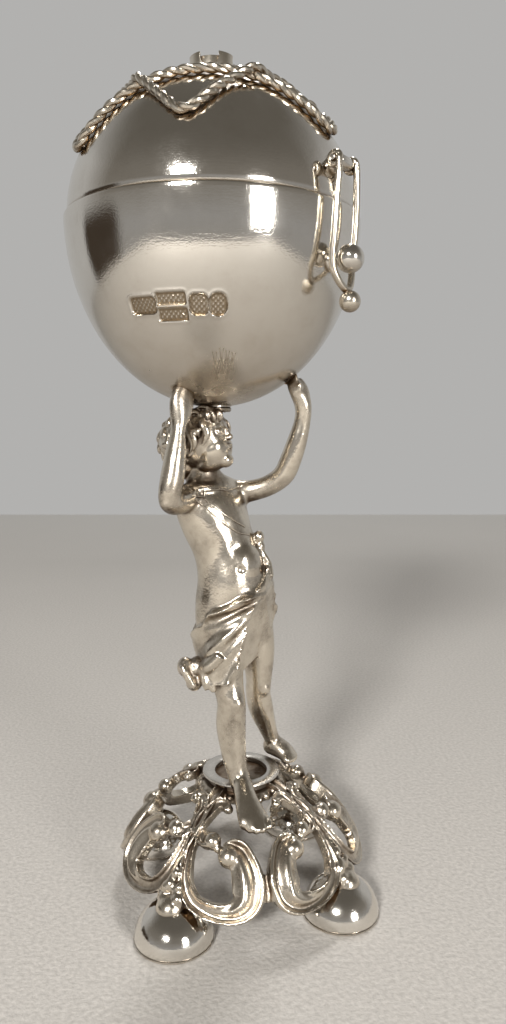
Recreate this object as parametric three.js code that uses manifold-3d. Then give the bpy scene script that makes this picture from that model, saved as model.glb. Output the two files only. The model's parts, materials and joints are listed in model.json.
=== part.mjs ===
// Silver spice box for havdalah: a boy stands on an openwork scroll dome and holds up a globe.
// The globe's hinged lid carries two crossed loops of wire and an open collet, and a wire hasp
// drops over a ball-headed stud to keep it shut. Millimetres, +Z up, feet on the plane z = 0.
import * as THREE from "three";
import { mergeVertices } from "three/addons/utils/BufferGeometryUtils.js";
import Module from "manifold-3d";

const wasm = await Module();
wasm.setup();

// Feet
const FOOT_RADIUS = 5.7;
const FOOT_HEIGHT = 4.4;
const FOOT_EDGE = 0.6;
const FOOT_FLAT = 1.5;
const FOOT_CIRCLE = 16.9;
const FOOT_COUNT = 4;
const FIRST_FOOT = -31.8;

// Openwork dome: its outline is a rounded arch from the skirt up to the crown ring
const DOME_RADIUS = 18.2;
const DOME_SKIRT = 2.5;
const DOME_RISE = 14.6;
const DOME_FULLNESS = 1.8;
const SCROLL_THICKNESS = 1.5;
const BAND = SCROLL_THICKNESS / 2;
const BRIDGE_WIDTH = 3.2;
const BRIDGE_HEIGHT = 1.5;
const VOLUTE_RADIUS = 1.45;
const BEAD_RADIUS = 1.05;
const STEM_WIDTH = 1.7;
const CROWN_RADIUS = 6.3;
const CROWN_BORE = 4.3;
const CROWN_HEIGHT = 1.6;
const CROWN_TOP = 16.0;

// Collar on the dome
const COLLAR_RADIUS = 5.85;
const COLLAR_BORE = 3.95;
const COLLAR_HEIGHT = 1.3;
const COLLAR_FLANGE = 0.6;
const COLLAR_NECK = 5.1;

// Figure
const FIGURE_HEIGHT = 53.8;
const FIGURE_TURN = 42;
const HEAD_TURN = 66;
const HEAD_TILT = 20;

// Seat and fastening between the head and the globe
const SEAT_RADIUS = 2.4;
const SEAT_THICKNESS = 0.7;
const STUD_RADIUS = 0.8;
const STUD_DEPTH = 4.0;
const STUD_ABOVE_NUT = 0.6;
const WASHER_RADIUS = 2.3;
const WASHER_THICKNESS = 0.35;
const NUT_RADIUS = 1.9;
const NUT_HEIGHT = 1.3;

// Globe
const GLOBE_SHIFT = -3.7;
const BOWL_RADIUS = 20.4;
const BOWL_DEPTH = 25.2;
const BOWL_WALL = 0.8;
const RIM_STEP = 0.45;
const LID_RADIUS = BOWL_RADIUS - RIM_STEP;
const LID_HEIGHT = 18.4;
const LID_WALL = 0.7;
const BEZEL_BELOW = 3.0;
const BEZEL_ABOVE = 1.6;
const BEZEL_WALL = 0.6;
const GLOBE_TURN = -38;

// Lid hinge
const KNUCKLE_RADIUS = 1.1;
const HINGE_PIN_RADIUS = 0.5;
const LID_KNUCKLE_LENGTH = 3.2;
const BOWL_KNUCKLE_LENGTH = 2.6;
const LEAF_THICKNESS = 0.7;
const LEAF_HEIGHT = 3.6;

// Hasp and its stud
const HASP_RISE = 4.2;
const HASP_STANDOFF = 1.05;
const HASP_REACH = LID_RADIUS + HASP_STANDOFF;
const HASP_TUBE_RADIUS = 0.8;
const HASP_TUBE_LENGTH = 2.6;
const HASP_PIN_RADIUS = 0.35;
const HASP_WIRE_RADIUS = 0.42;
const HASP_EYE_RADIUS = 0.95;
const LATCH_DROP = 7.15;
const LATCH_STANDOFF = 1.2;
const LATCH_REACH = BOWL_RADIUS + LATCH_STANDOFF;
const LATCH_BALL_RADIUS = 1.47;
const LATCH_SHANK_RADIUS = 0.6;
const FINGER_BALL_RADIUS = 1.16;
const FINGER_OUT = 1.78;
const FINGER_DROP = 5.15;

// Ornament on the lid
const WIRE_RADIUS = 0.6;
const STAR_REACH = 39.5;
const STAR_CORNER = 6;
const UPPER_CORNER = -5.5;
const LOWER_CORNER = 60;
const CROSSING_SPREAD = 9;
const COLLET_BASE_RADIUS = 3.6;
const COLLET_TOP_RADIUS = 3.2;
const COLLET_HEIGHT = 3.1;
const COLLET_WALL = 0.5;
const COLLET_SCALLOPS = 4;
const SCALLOP_SHARE = 0.5;
const SCALLOP_TURN = -16;

// Clearances
const SOLDER_GAP = 0.2;
const TURNING_GAP = 0.15;
const SIDE_GAP = 0.3;

// Facets
const ROUND = 28;
const SMALL_ROUND = 14;

// Levels worked out from the sizes above
const COLLAR_TOP = CROWN_TOP + COLLAR_HEIGHT;
const HEAD_TOP = COLLAR_TOP + FIGURE_HEIGHT;
const GLOBE_BOTTOM = HEAD_TOP + SEAT_THICKNESS;
const RIM = GLOBE_BOTTOM + BOWL_DEPTH;
const LID_TOP = RIM + LID_HEIGHT;
const HINGE_REACH = BOWL_RADIUS + SIDE_GAP + KNUCKLE_RADIUS;

const DEGREE = Math.PI / 180;
const X = new THREE.Vector3(1, 0, 0);
const Y = new THREE.Vector3(0, 1, 0);
const Z = new THREE.Vector3(0, 0, 1);
const v = (x, y, z) => new THREE.Vector3(x, y, z);

// The direction that faces an angle measured from the front, positive to the right.
const facing = (angle) => v(Math.sin(angle * DEGREE), -Math.cos(angle * DEGREE), 0);

// Solids
function solid(geometry) {
  const bare = new THREE.BufferGeometry();
  bare.setAttribute("position", geometry.getAttribute("position"));
  bare.setIndex(geometry.getIndex());
  const merged = mergeVertices(bare, 1e-4);
  return new wasm.Manifold(
    new wasm.Mesh({
      numProp: 3,
      vertProperties: new Float32Array(merged.getAttribute("position").array),
      triVerts: new Uint32Array(merged.getIndex().array),
    }),
  );
}

function surface(made) {
  const mesh = made.getMesh();
  const geometry = new THREE.BufferGeometry();
  geometry.setAttribute("position", new THREE.BufferAttribute(mesh.vertProperties, mesh.numProp));
  geometry.setIndex(new THREE.BufferAttribute(mesh.triVerts, 1));
  geometry.computeVertexNormals();
  return geometry;
}

const joined = (pieces) => pieces.reduce((whole, piece) => whole.add(piece));

// A profile of [radius, height] turned about the Z axis, its outside running upwards.
function turned(profile, segments = ROUND) {
  const points = profile.map(([radius, height]) => new THREE.Vector2(radius, height));
  return solid(new THREE.LatheGeometry(points, segments).rotateX(Math.PI / 2));
}

// A bar, or a tube where it has a bore, that starts at a point and runs along a direction.
function rod(radius, length, start, direction, bore = 0, segments = SMALL_ROUND) {
  const profile = [[bore, 0], [radius, 0], [radius, length], [bore, length]];
  if (bore > 0) profile.push([bore, 0]);
  const points = profile.map(([r, h]) => new THREE.Vector2(r, h));
  const geometry = new THREE.LatheGeometry(points, segments);
  geometry.applyQuaternion(new THREE.Quaternion().setFromUnitVectors(Y, direction));
  return solid(geometry.translate(start.x, start.y, start.z));
}

function ball(radius, centre, detail = 1) {
  const geometry = new THREE.IcosahedronGeometry(radius, detail);
  return solid(geometry.translate(centre.x, centre.y, centre.z));
}

function block(width, depth, height, centre) {
  return solid(new THREE.BoxGeometry(width, depth, height).translate(centre.x, centre.y, centre.z));
}

// A skin over rings of points that run anticlockwise about the way they are stacked.
function skin(rings, closed = false) {
  const sides = rings[0].length;
  const positions = rings.flat().flatMap((p) => [p.x, p.y, p.z]);
  const index = [];
  const last = closed ? rings.length : rings.length - 1;
  for (let i = 0; i < last; i++) {
    const here = i * sides;
    const next = ((i + 1) % rings.length) * sides;
    for (let j = 0; j < sides; j++) {
      const k = (j + 1) % sides;
      index.push(here + j, here + k, next + k, here + j, next + k, next + j);
    }
  }
  if (!closed) {
    const end = (rings.length - 1) * sides;
    for (let j = 1; j < sides - 1; j++) {
      index.push(0, j + 1, j, end, end + j, end + j + 1);
    }
  }
  const geometry = new THREE.BufferGeometry();
  geometry.setAttribute("position", new THREE.Float32BufferAttribute(positions, 3));
  geometry.setIndex(index);
  return solid(geometry);
}

// One ring of a sweep: a section of [across, out] pairs set square to the way it travels.
function ring(section, centre, along, out) {
  const outward = out.clone().addScaledVector(along, -out.dot(along)).normalize();
  const across = along.clone().cross(outward);
  return section.map(([a, o]) => centre.clone().addScaledVector(across, a).addScaledVector(outward, o));
}

// An oval section, running from outwards towards across.
function oval(wide, deep, sides) {
  return Array.from({ length: sides }, (_, i) => {
    const turn = (2 * Math.PI * i) / sides;
    return [wide * Math.sin(turn), deep * Math.cos(turn)];
  });
}

// A limb or fold whose stations are [x, y, z, half width, half depth], faced towards front.
function limb(stations, front, sides = 10, steps = 3) {
  const path = new THREE.CatmullRomCurve3(stations.map(([x, y, z]) => v(x, y, z)));
  const sizes = new THREE.CatmullRomCurve3(stations.map(([, , , wide, deep]) => v(wide, deep, 0)));
  const count = (stations.length - 1) * steps;
  const rings = [];
  for (let i = 0; i <= count; i++) {
    const t = i / count;
    const size = sizes.getPoint(t);
    rings.push(ring(oval(size.x, size.y, sides), path.getPoint(t), path.getTangent(t), front));
  }
  return skin(rings);
}

// An oval body about a centre, turned so that its first axis faces a heading and tips up.
function ovoid(centre, size, heading = 0, tilt = 0, detail = 2) {
  const geometry = new THREE.IcosahedronGeometry(1, detail).scale(size[0], size[1], size[2]);
  geometry.rotateY(-tilt * DEGREE).rotateZ((heading - 90) * DEGREE);
  return solid(geometry.translate(centre.x, centre.y, centre.z));
}

// Openwork base. A place on the dome is an angle from the front and a share of the dome's rise.
function domeRadius(share) {
  return DOME_RADIUS * (1 - share ** DOME_FULLNESS) ** (1 / DOME_FULLNESS);
}

function domePlace(angle, share, lift = 0) {
  const radius = domeRadius(share);
  const place = facing(angle).multiplyScalar(radius);
  place.z = DOME_SKIRT + DOME_RISE * share;
  return place.addScaledVector(domeOut(angle, share), lift);
}

function domeOut(angle, share) {
  const slope = DOME_FULLNESS - 1;
  const out = facing(angle).multiplyScalar((domeRadius(share) / DOME_RADIUS) ** slope / DOME_RADIUS);
  out.z = share ** slope / DOME_RISE;
  return out.normalize();
}

const DOME_CURVE = Array.from({ length: 9 }, (_, i) => i / 8);

function domeForm(grow) {
  const outline = DOME_CURVE.map((share) => [
    domeRadius(share) + grow,
    DOME_SKIRT + (DOME_RISE + grow) * share,
  ]);
  return turned([[0, DOME_SKIRT], ...outline, [0, DOME_SKIRT + DOME_RISE + grow]]);
}

// A scroll through stations of [angle, share, half width, half thickness] on the dome.
function scroll(middle, hand, stations, section, steps = 2) {
  const route = new THREE.CatmullRomCurve3(stations.map(([angle, share]) => v(angle, share, 0)));
  const sizes = new THREE.CatmullRomCurve3(stations.map(([, , wide, thick]) => v(wide, thick, 0)));
  const count = (stations.length - 1) * steps;
  const place = (t) => {
    const p = route.getPoint(t);
    return domePlace(middle + hand * p.x, p.y);
  };
  const rings = [];
  for (let i = 0; i <= count; i++) {
    const t = i / count;
    const before = place(Math.max(0, t - 0.005));
    const along = place(Math.min(1, t + 0.005)).sub(before).normalize();
    const p = route.getPoint(t);
    const size = sizes.getPoint(t);
    rings.push(ring(section(size.x, size.y), place(t), along, domeOut(middle + hand * p.x, p.y)));
  }
  return skin(rings);
}

// Fluted band: two raised edges with a hollow between them and a narrower back.
function fluted(wide, thick) {
  return [
    [0, thick * 0.5],
    [wide * 0.8, thick],
    [wide * 0.9, -thick],
    [-wide * 0.9, -thick],
    [-wide * 0.8, thick],
  ];
}

const plainBand = (wide, thick) => oval(wide, thick, 5);

// The large scroll of each side, from the stem, round its loop and in to its volute.
const LARGE_SCROLL = [
  [43.5, 0.72, 0.7, BAND],
  [42.0, 0.5, 0.75, BAND],
  [35.0, 0.27, 0.95, BAND],
  [24.0, 0.12, 1.25, BAND],
  [14.0, 0.13, 1.6, BAND],
  [8.2, 0.25, 1.85, BAND],
  [7.2, 0.44, 1.9, BAND],
  [10.5, 0.585, 1.4, BAND],
  [15.0, 0.605, 1.3, VOLUTE_RADIUS],
  [18.5, 0.575, 1.3, VOLUTE_RADIUS],
  [21.0, 0.55, 0.4, 0.4],
];

// The small scroll between the stem and the collar, with a bead at either end.
const SMALL_SCROLL = [
  [12.5, 0.85, 0.3, 0.3],
  [16.0, 0.87, BEAD_RADIUS, BEAD_RADIUS],
  [22.0, 0.9, 0.65, BAND],
  [34.0, 0.9, 0.7, BAND],
  [41.5, 0.79, 0.8, BAND],
  [37.0, 0.7, 0.75, BAND],
  [29.0, 0.665, BEAD_RADIUS, BEAD_RADIUS],
  [25.0, 0.655, 0.4, 0.4],
];

// The stem from the crown ring to a foot opens into a lobed leaf.
const LEAF = [
  [0, 0.9, STEM_WIDTH / 2, BAND],
  [0, 0.6, STEM_WIDTH * 0.55, BAND],
  [0, 0.45, STEM_WIDTH * 1.1, BAND],
  [0, 0.38, STEM_WIDTH * 0.85, BAND],
  [0, 0.27, STEM_WIDTH * 1.45, BAND],
  [0, 0.19, STEM_WIDTH * 0.95, BAND],
  [0, 0.12, STEM_WIDTH * 0.75, BAND],
];

function openworkSide(middle) {
  const pieces = [];
  for (const hand of [-1, 1]) {
    pieces.push(scroll(middle, hand, LARGE_SCROLL, fluted));
    pieces.push(scroll(middle, hand, SMALL_SCROLL, plainBand));
  }
  const bridge = new THREE.BoxGeometry(BRIDGE_WIDTH, BAND * 2, BRIDGE_HEIGHT);
  bridge.rotateZ(middle * DEGREE);
  const place = domePlace(middle, 0.36);
  pieces.push(solid(bridge.translate(place.x, place.y, place.z)));
  return pieces;
}

function stem(angle) {
  const landing = facing(angle).multiplyScalar(FOOT_CIRCLE + 0.4);
  const heel = rod(FOOT_FLAT, DOME_SKIRT, v(landing.x, landing.y, FOOT_HEIGHT), Z, 0, 10);
  return [scroll(angle, 1, LEAF, fluted), heel];
}

function baseOpenwork() {
  const crown = turned([
    [CROWN_BORE, CROWN_TOP - CROWN_HEIGHT],
    [CROWN_RADIUS + 1.2, CROWN_TOP - CROWN_HEIGHT],
    [CROWN_RADIUS, CROWN_TOP],
    [CROWN_BORE, CROWN_TOP],
    [CROWN_BORE, CROWN_TOP - CROWN_HEIGHT],
  ]);
  const pieces = [crown];
  const quarter = 360 / FOOT_COUNT;
  for (let i = 0; i < FOOT_COUNT; i++) {
    pieces.push(...stem(FIRST_FOOT + i * quarter));
    pieces.push(...openworkSide(FIRST_FOOT + (i + 0.5) * quarter));
  }
  const spare = [turned([[0, CROWN_TOP], [DOME_RADIUS, CROWN_TOP], [DOME_RADIUS, HEAD_TOP], [0, HEAD_TOP]])];
  for (let i = 0; i < FOOT_COUNT; i++) {
    const centre = facing(FIRST_FOOT + i * quarter).multiplyScalar(FOOT_CIRCLE);
    spare.push(rod(FOOT_RADIUS + SIDE_GAP, FOOT_HEIGHT, centre, Z));
  }
  return joined(pieces).subtract(joined(spare));
}

function foot(angle) {
  const arch = [1, 2, 3].map((i) => {
    const turn = (i / 4) * 90 * DEGREE;
    return [
      FOOT_FLAT + (FOOT_RADIUS - FOOT_FLAT) * Math.cos(turn),
      FOOT_EDGE + (FOOT_HEIGHT - FOOT_EDGE) * Math.sin(turn),
    ];
  });
  const profile = [[0, 0], [FOOT_RADIUS - 0.2, 0], [FOOT_RADIUS, FOOT_EDGE], ...arch];
  profile.push([FOOT_FLAT + 0.4, FOOT_HEIGHT], [0, FOOT_HEIGHT]);
  const place = facing(angle).multiplyScalar(FOOT_CIRCLE);
  return turned(profile, 14).translate(place.toArray());
}

function baseCollar() {
  return turned([
    [COLLAR_BORE, CROWN_TOP],
    [COLLAR_NECK, CROWN_TOP],
    [COLLAR_NECK, COLLAR_TOP - COLLAR_FLANGE],
    [COLLAR_RADIUS, COLLAR_TOP - COLLAR_FLANGE * 0.7],
    [COLLAR_RADIUS, COLLAR_TOP],
    [COLLAR_BORE, COLLAR_TOP],
    [COLLAR_BORE, CROWN_TOP],
  ]);
}

// Globe
const quarterArc = (count) => Array.from({ length: count }, (_, i) => ((i / (count - 1)) * Math.PI) / 2);

// Points down the inside or up the outside of the bowl, from the seat to the rim.
function bowlArc(radius, depth, from) {
  return quarterArc(8)
    .map((turn) => [radius * Math.sin(turn), RIM - depth * Math.cos(turn)])
    .filter(([r]) => r > from);
}

function bowlForm(grow) {
  return turned([
    [0, GLOBE_BOTTOM - grow],
    [SEAT_RADIUS, GLOBE_BOTTOM - grow],
    ...bowlArc(BOWL_RADIUS + grow, BOWL_DEPTH + grow, SEAT_RADIUS),
    [0, RIM],
  ]);
}

function bowlShell() {
  const hole = STUD_RADIUS + TURNING_GAP;
  const inner = bowlArc(BOWL_RADIUS - BOWL_WALL, BOWL_DEPTH - BOWL_WALL, WASHER_RADIUS).reverse();
  return turned([
    [hole, GLOBE_BOTTOM],
    [SEAT_RADIUS, GLOBE_BOTTOM],
    ...bowlArc(BOWL_RADIUS, BOWL_DEPTH, SEAT_RADIUS),
    ...inner,
    [WASHER_RADIUS + SOLDER_GAP, GLOBE_BOTTOM + BOWL_WALL],
    [hole, GLOBE_BOTTOM + BOWL_WALL],
    [hole, GLOBE_BOTTOM],
  ]);
}

function lidArc(radius, height) {
  return quarterArc(8).map((turn) => [radius * Math.cos(turn), RIM + height * Math.sin(turn)]);
}

function lidForm(grow) {
  return turned([[0, RIM], ...lidArc(LID_RADIUS + grow, LID_HEIGHT + grow)]);
}

function lidShell() {
  const inner = lidArc(LID_RADIUS - LID_WALL, LID_HEIGHT - LID_WALL).reverse();
  return turned([...lidArc(LID_RADIUS, LID_HEIGHT), ...inner, [LID_RADIUS, RIM]]);
}

function bowlBezel() {
  const seat = (BOWL_RADIUS - BOWL_WALL) * Math.sqrt(1 - (BEZEL_BELOW / BOWL_DEPTH) ** 2) - SOLDER_GAP;
  const outer = LID_RADIUS - LID_WALL - SIDE_GAP;
  const inner = outer - BEZEL_WALL;
  return turned([
    [inner, RIM - BEZEL_BELOW],
    [seat, RIM - BEZEL_BELOW],
    [seat, RIM - SIDE_GAP],
    [outer, RIM],
    [outer, RIM + BEZEL_ABOVE],
    [inner, RIM + BEZEL_ABOVE],
    [inner, RIM - BEZEL_BELOW],
  ]);
}

// A knuckle of the lid's hinge with the leaf that is soldered to the bowl or to the lid.
function knuckle(start, length, form, level) {
  const barrel = rod(KNUCKLE_RADIUS, length, v(-HINGE_REACH, start, RIM), Y);
  const slab = block(4, length, LEAF_HEIGHT, v(-HINGE_REACH + 1, start + length / 2, level));
  const leaf = slab.intersect(form(SOLDER_GAP + LEAF_THICKNESS)).subtract(form(SOLDER_GAP));
  const bore = rod(HINGE_PIN_RADIUS + TURNING_GAP, length + 1, v(-HINGE_REACH, start - 0.5, RIM), Y);
  return barrel.add(leaf).subtract(bore);
}

const LID_KNUCKLE_START = -LID_KNUCKLE_LENGTH / 2;
const BOWL_KNUCKLE_OFFSET = LID_KNUCKLE_LENGTH / 2 + SIDE_GAP;
const HINGE_HALF = BOWL_KNUCKLE_OFFSET + BOWL_KNUCKLE_LENGTH;

function hingePin() {
  const length = 2 * (HINGE_HALF + SIDE_GAP);
  const shaft = rod(HINGE_PIN_RADIUS, length, v(-HINGE_REACH, -length / 2, RIM), Y);
  const head = rod(HINGE_PIN_RADIUS * 1.5, 0.4, v(-HINGE_REACH, length / 2, RIM), Y);
  return shaft.add(head);
}

// Hasp
const HASP_LEVEL = RIM + HASP_RISE;
const LATCH_LEVEL = RIM - LATCH_DROP;
const EYE_OFFSET = HASP_TUBE_LENGTH / 2 + TURNING_GAP;
const EYE_WIDTH = 2 * HASP_WIRE_RADIUS;
const LEG_OFFSET = EYE_OFFSET + HASP_WIRE_RADIUS;

function haspTube() {
  const start = v(HASP_REACH, -HASP_TUBE_LENGTH / 2, HASP_LEVEL);
  const bore = rod(HASP_PIN_RADIUS + TURNING_GAP, HASP_TUBE_LENGTH + 1, v(HASP_REACH, start.y - 0.5, HASP_LEVEL), Y);
  const saddle = block(3, HASP_TUBE_LENGTH, 1.2, v(HASP_REACH - 1.5, 0, HASP_LEVEL));
  return rod(HASP_TUBE_RADIUS, HASP_TUBE_LENGTH, start, Y)
    .add(saddle)
    .subtract(lidForm(SOLDER_GAP))
    .subtract(bore);
}

function haspPin() {
  const half = EYE_OFFSET + EYE_WIDTH + 0.2;
  return rod(HASP_PIN_RADIUS, 2 * half, v(HASP_REACH, -half, HASP_LEVEL), Y);
}

// The wire runs down one leg, under the stud's ball, and up the other leg.
function haspLoop() {
  const spread = LATCH_BALL_RADIUS + HASP_WIRE_RADIUS + 0.32;
  const leg = [
    [HASP_REACH + 0.05, LEG_OFFSET, HASP_RISE - 0.65],
    [HASP_REACH + 0.7, LEG_OFFSET, 2.0],
    [BOWL_RADIUS + 1.6, LEG_OFFSET + 0.1, 0.0],
    [LATCH_REACH + 0.4, spread - 0.05, -3.5],
    [LATCH_REACH + 0.35, spread, -LATCH_DROP],
    [LATCH_REACH + 0.65, spread - 0.15, -LATCH_DROP - 1.5],
    [LATCH_REACH + 1.05, 1.45, -LATCH_DROP - 2.65],
    [LATCH_REACH + 1.35, 0.65, -LATCH_DROP - 3.4],
  ];
  const foot = [[LATCH_REACH + 1.5, 0, -LATCH_DROP - 3.75]];
  const back = leg.map(([x, y, z]) => [x, -y, z]).reverse();
  const stations = [...leg, ...foot, ...back].map(([x, y, z]) => [
    x,
    y,
    RIM + z,
    HASP_WIRE_RADIUS,
    HASP_WIRE_RADIUS,
  ]);
  const eyes = [EYE_OFFSET, -EYE_OFFSET - EYE_WIDTH].map((start) =>
    rod(HASP_EYE_RADIUS, EYE_WIDTH, v(HASP_REACH, start, HASP_LEVEL), Y),
  );
  const bore = rod(HASP_PIN_RADIUS + TURNING_GAP, 2 * HASP_REACH, v(HASP_REACH, -HASP_REACH, HASP_LEVEL), Y);
  const tip = ball(FINGER_BALL_RADIUS, v(LATCH_REACH + FINGER_OUT, 0, LATCH_LEVEL - FINGER_DROP), 1);
  return joined([limb(stations, X, 6, 2), ...eyes, tip]).subtract(bore);
}

function latchStud() {
  const shank = rod(LATCH_SHANK_RADIUS, 4, v(LATCH_REACH - 4, 0, LATCH_LEVEL), X, 0, 10);
  const flange = rod(LATCH_SHANK_RADIUS * 2, 1.5, v(LATCH_REACH - 3, 0, LATCH_LEVEL), X);
  const head = ball(LATCH_BALL_RADIUS, v(LATCH_REACH, 0, LATCH_LEVEL), 2);
  const skinOnly = bowlForm(SOLDER_GAP + 0.4);
  return joined([shank, head, flange.intersect(skinOnly)]).subtract(bowlForm(SOLDER_GAP));
}

// Ornament. How far from the lid's top a rounded triangle runs, in degrees, at an azimuth from a corner.
function triangleReach(angle) {
  let sum = 0;
  for (const side of [60, 180, 300]) {
    sum += Math.max(0, Math.cos((angle - side) * DEGREE) / STAR_REACH) ** STAR_CORNER;
  }
  return sum ** (-1 / STAR_CORNER);
}

// One of the two wire triangles. The upper one rises where its wire meets the lower one's.
function wireLoop(corner, otherCorner, over) {
  const count = 54;
  const rings = [];
  const place = (i) => {
    const angle = corner + (360 * i) / count;
    const reach = triangleReach(angle - corner);
    const polar = reach * DEGREE;
    const near = Math.exp(-(((reach - triangleReach(angle - otherCorner)) / CROSSING_SPREAD) ** 2));
    const lift = SOLDER_GAP + WIRE_RADIUS + (over ? near * (2 * WIRE_RADIUS + SOLDER_GAP) : 0);
    const unit = facing(angle).multiplyScalar(Math.sin(polar)).setZ(Math.cos(polar));
    const point = v(unit.x * LID_RADIUS, unit.y * LID_RADIUS, RIM + unit.z * LID_HEIGHT);
    const out = v(unit.x / LID_RADIUS, unit.y / LID_RADIUS, unit.z / LID_HEIGHT).normalize();
    return { centre: point.addScaledVector(out, lift), out };
  };
  for (let i = 0; i < count; i++) {
    const here = place(i);
    const along = place(i + 0.05).centre.sub(place(i - 0.05).centre).normalize();
    rings.push(ring(oval(WIRE_RADIUS, WIRE_RADIUS, 5), here.centre, along, here.out));
  }
  return skin(rings, true);
}

function finialCollet() {
  const base = LID_TOP - 0.6;
  const top = LID_TOP + COLLET_HEIGHT;
  const cup = turned(
    [
      [COLLET_BASE_RADIUS - COLLET_WALL, base],
      [COLLET_BASE_RADIUS, base],
      [COLLET_BASE_RADIUS, LID_TOP + 0.3],
      [COLLET_TOP_RADIUS, top],
      [COLLET_TOP_RADIUS - COLLET_WALL, top],
      [COLLET_BASE_RADIUS - COLLET_WALL, base],
    ],
    20,
  );
  const bite = COLLET_TOP_RADIUS * SCALLOP_SHARE;
  const bites = [];
  for (let i = 0; i < COLLET_SCALLOPS / 2; i++) {
    const heading = facing(SCALLOP_TURN + (360 / COLLET_SCALLOPS) * i);
    const start = heading.clone().multiplyScalar(-2 * COLLET_BASE_RADIUS);
    start.z = top - bite * 0.4;
    bites.push(rod(bite, 4 * COLLET_BASE_RADIUS, start, heading, 0, 12));
    start.z = top;
    bites.push(rod(bite, 4 * COLLET_BASE_RADIUS, start, heading, 0, 12));
  }
  return cup.subtract(joined(bites)).subtract(lidForm(SOLDER_GAP));
}

// Seat and fastening
function globeSeat() {
  const hole = STUD_RADIUS + TURNING_GAP;
  return turned(
    [[hole, HEAD_TOP], [SEAT_RADIUS, HEAD_TOP], [SEAT_RADIUS, GLOBE_BOTTOM], [hole, GLOBE_BOTTOM], [hole, HEAD_TOP]],
    20,
  );
}

const WASHER_LEVEL = GLOBE_BOTTOM + BOWL_WALL;
const NUT_LEVEL = WASHER_LEVEL + WASHER_THICKNESS;

function globeStud() {
  const length = STUD_DEPTH + SEAT_THICKNESS + BOWL_WALL + WASHER_THICKNESS + NUT_HEIGHT + STUD_ABOVE_NUT;
  return rod(STUD_RADIUS, length, v(0, 0, HEAD_TOP - STUD_DEPTH), Z);
}

const globeWasher = () =>
  rod(WASHER_RADIUS, WASHER_THICKNESS, v(0, 0, WASHER_LEVEL), Z, STUD_RADIUS + TURNING_GAP, 18);

const globeNut = () => {
  const hexagon = rod(NUT_RADIUS, NUT_HEIGHT, v(0, 0, NUT_LEVEL), Z, 0, 6);
  return hexagon.subtract(rod(STUD_RADIUS + TURNING_GAP, NUT_HEIGHT + 2, v(0, 0, NUT_LEVEL - 1), Z));
};

// Figure. Heights are shares of the figure's height above the collar, other sizes are millimetres.
const FRONT = facing(FIGURE_TURN);
const high = (share) => COLLAR_TOP + FIGURE_HEIGHT * share;
const body = (stations, front = FRONT, sides = 10, steps = 2) =>
  limb(stations.map(([x, y, share, wide, deep]) => [x, y, high(share), wide, deep]), front, sides, steps);

function torso(grow = 0) {
  return body(
    [
      [-0.9, 0.1, 0.365, 2.6, 2.4],
      [-0.9, 0.2, 0.42, 5.0, 4.5],
      [-0.9, 0.2, 0.48, 5.3, 4.8],
      [-1.1, -0.1, 0.56, 5.0, 4.9],
      [-2.6, 0.0, 0.65, 4.8, 4.5],
      [-3.9, 0.1, 0.73, 5.3, 4.3],
      [-4.8, 0.2, 0.79, 5.0, 3.3],
      [-5.2, 0.2, 0.825, 2.8, 2.4],
      [-5.7, 0.1, 0.86, 2.1, 2.1],
      [-6.0, 0.0, 0.91, 2.0, 2.0],
    ].map(([x, y, share, wide, deep]) => [x, y, share, wide + grow, deep + grow]),
    FRONT,
    14,
  );
}

function head() {
  const centre = v(-6.1, -0.3, high(0.925));
  const way = facing(HEAD_TURN);
  const skull = ovoid(centre, [5.0, 4.3, 4.6], HEAD_TURN, HEAD_TILT);
  const jaw = ovoid(centre.clone().addScaledVector(way, 2.0).setZ(high(0.893)), [3.0, 2.8, 2.9], HEAD_TURN, HEAD_TILT, 1);
  const nose = ovoid(centre.clone().addScaledVector(way, 4.7).setZ(high(0.925)), [0.9, 0.6, 0.9], HEAD_TURN, 40, 1);
  const hair = ovoid(centre.clone().addScaledVector(way, -1.0).setZ(high(0.938)), [5.0, 4.9, 4.4], HEAD_TURN, 35);
  const nape = ovoid(centre.clone().addScaledVector(way, -3.2).setZ(high(0.905)), [2.4, 3.6, 3.2], HEAD_TURN, 0, 1);
  return [skull, jaw, nose, hair, nape];
}

function legs() {
  const near = body([
    [-2.6, -1.7, 0.44, 2.9, 3.0],
    [-2.4, -3.2, 0.33, 2.7, 2.9],
    [-1.6, -4.2, 0.24, 2.1, 2.2],
    [-0.9, -4.3, 0.15, 1.95, 2.2],
    [0.1, -4.7, 0.07, 1.3, 1.5],
    [0.5, -4.9, 0.025, 1.25, 1.4],
    [0.6, -5.0, 0.0, 1.3, 1.4],
  ]);
  const nearFoot = limb(
    [
      [0.3, -4.3, high(0.012), 1.2, 1.0],
      [0.9, -6.2, high(0.005), 1.3, 1.2],
      [1.9, -8.4, high(-0.035), 1.7, 1.0],
      [2.8, -10.3, high(-0.07), 1.6, 0.8],
      [3.2, -11.0, high(-0.082), 1.0, 0.5],
    ],
    Z,
    10,
    2,
  );
  const far = body([
    [1.2, 1.7, 0.43, 3.0, 3.0],
    [2.4, 1.6, 0.34, 2.5, 2.6],
    [2.6, 1.9, 0.25, 1.9, 2.0],
    [3.0, 3.2, 0.15, 1.75, 2.1],
    [4.9, 4.6, 0.06, 1.1, 1.3],
    [5.1, 4.8, 0.0, 1.2, 1.3],
  ]);
  const farFoot = limb(
    [
      [4.4, 5.3, high(0.02), 1.1, 1.0],
      [6.0, 4.0, high(0.022), 1.3, 1.1],
      [7.9, 2.5, high(0.012), 1.6, 0.8],
      [9.4, 1.3, high(0.008), 1.3, 0.5],
    ],
    Z,
    10,
    2,
  );
  return [near, nearFoot, far, farFoot];
}

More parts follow.
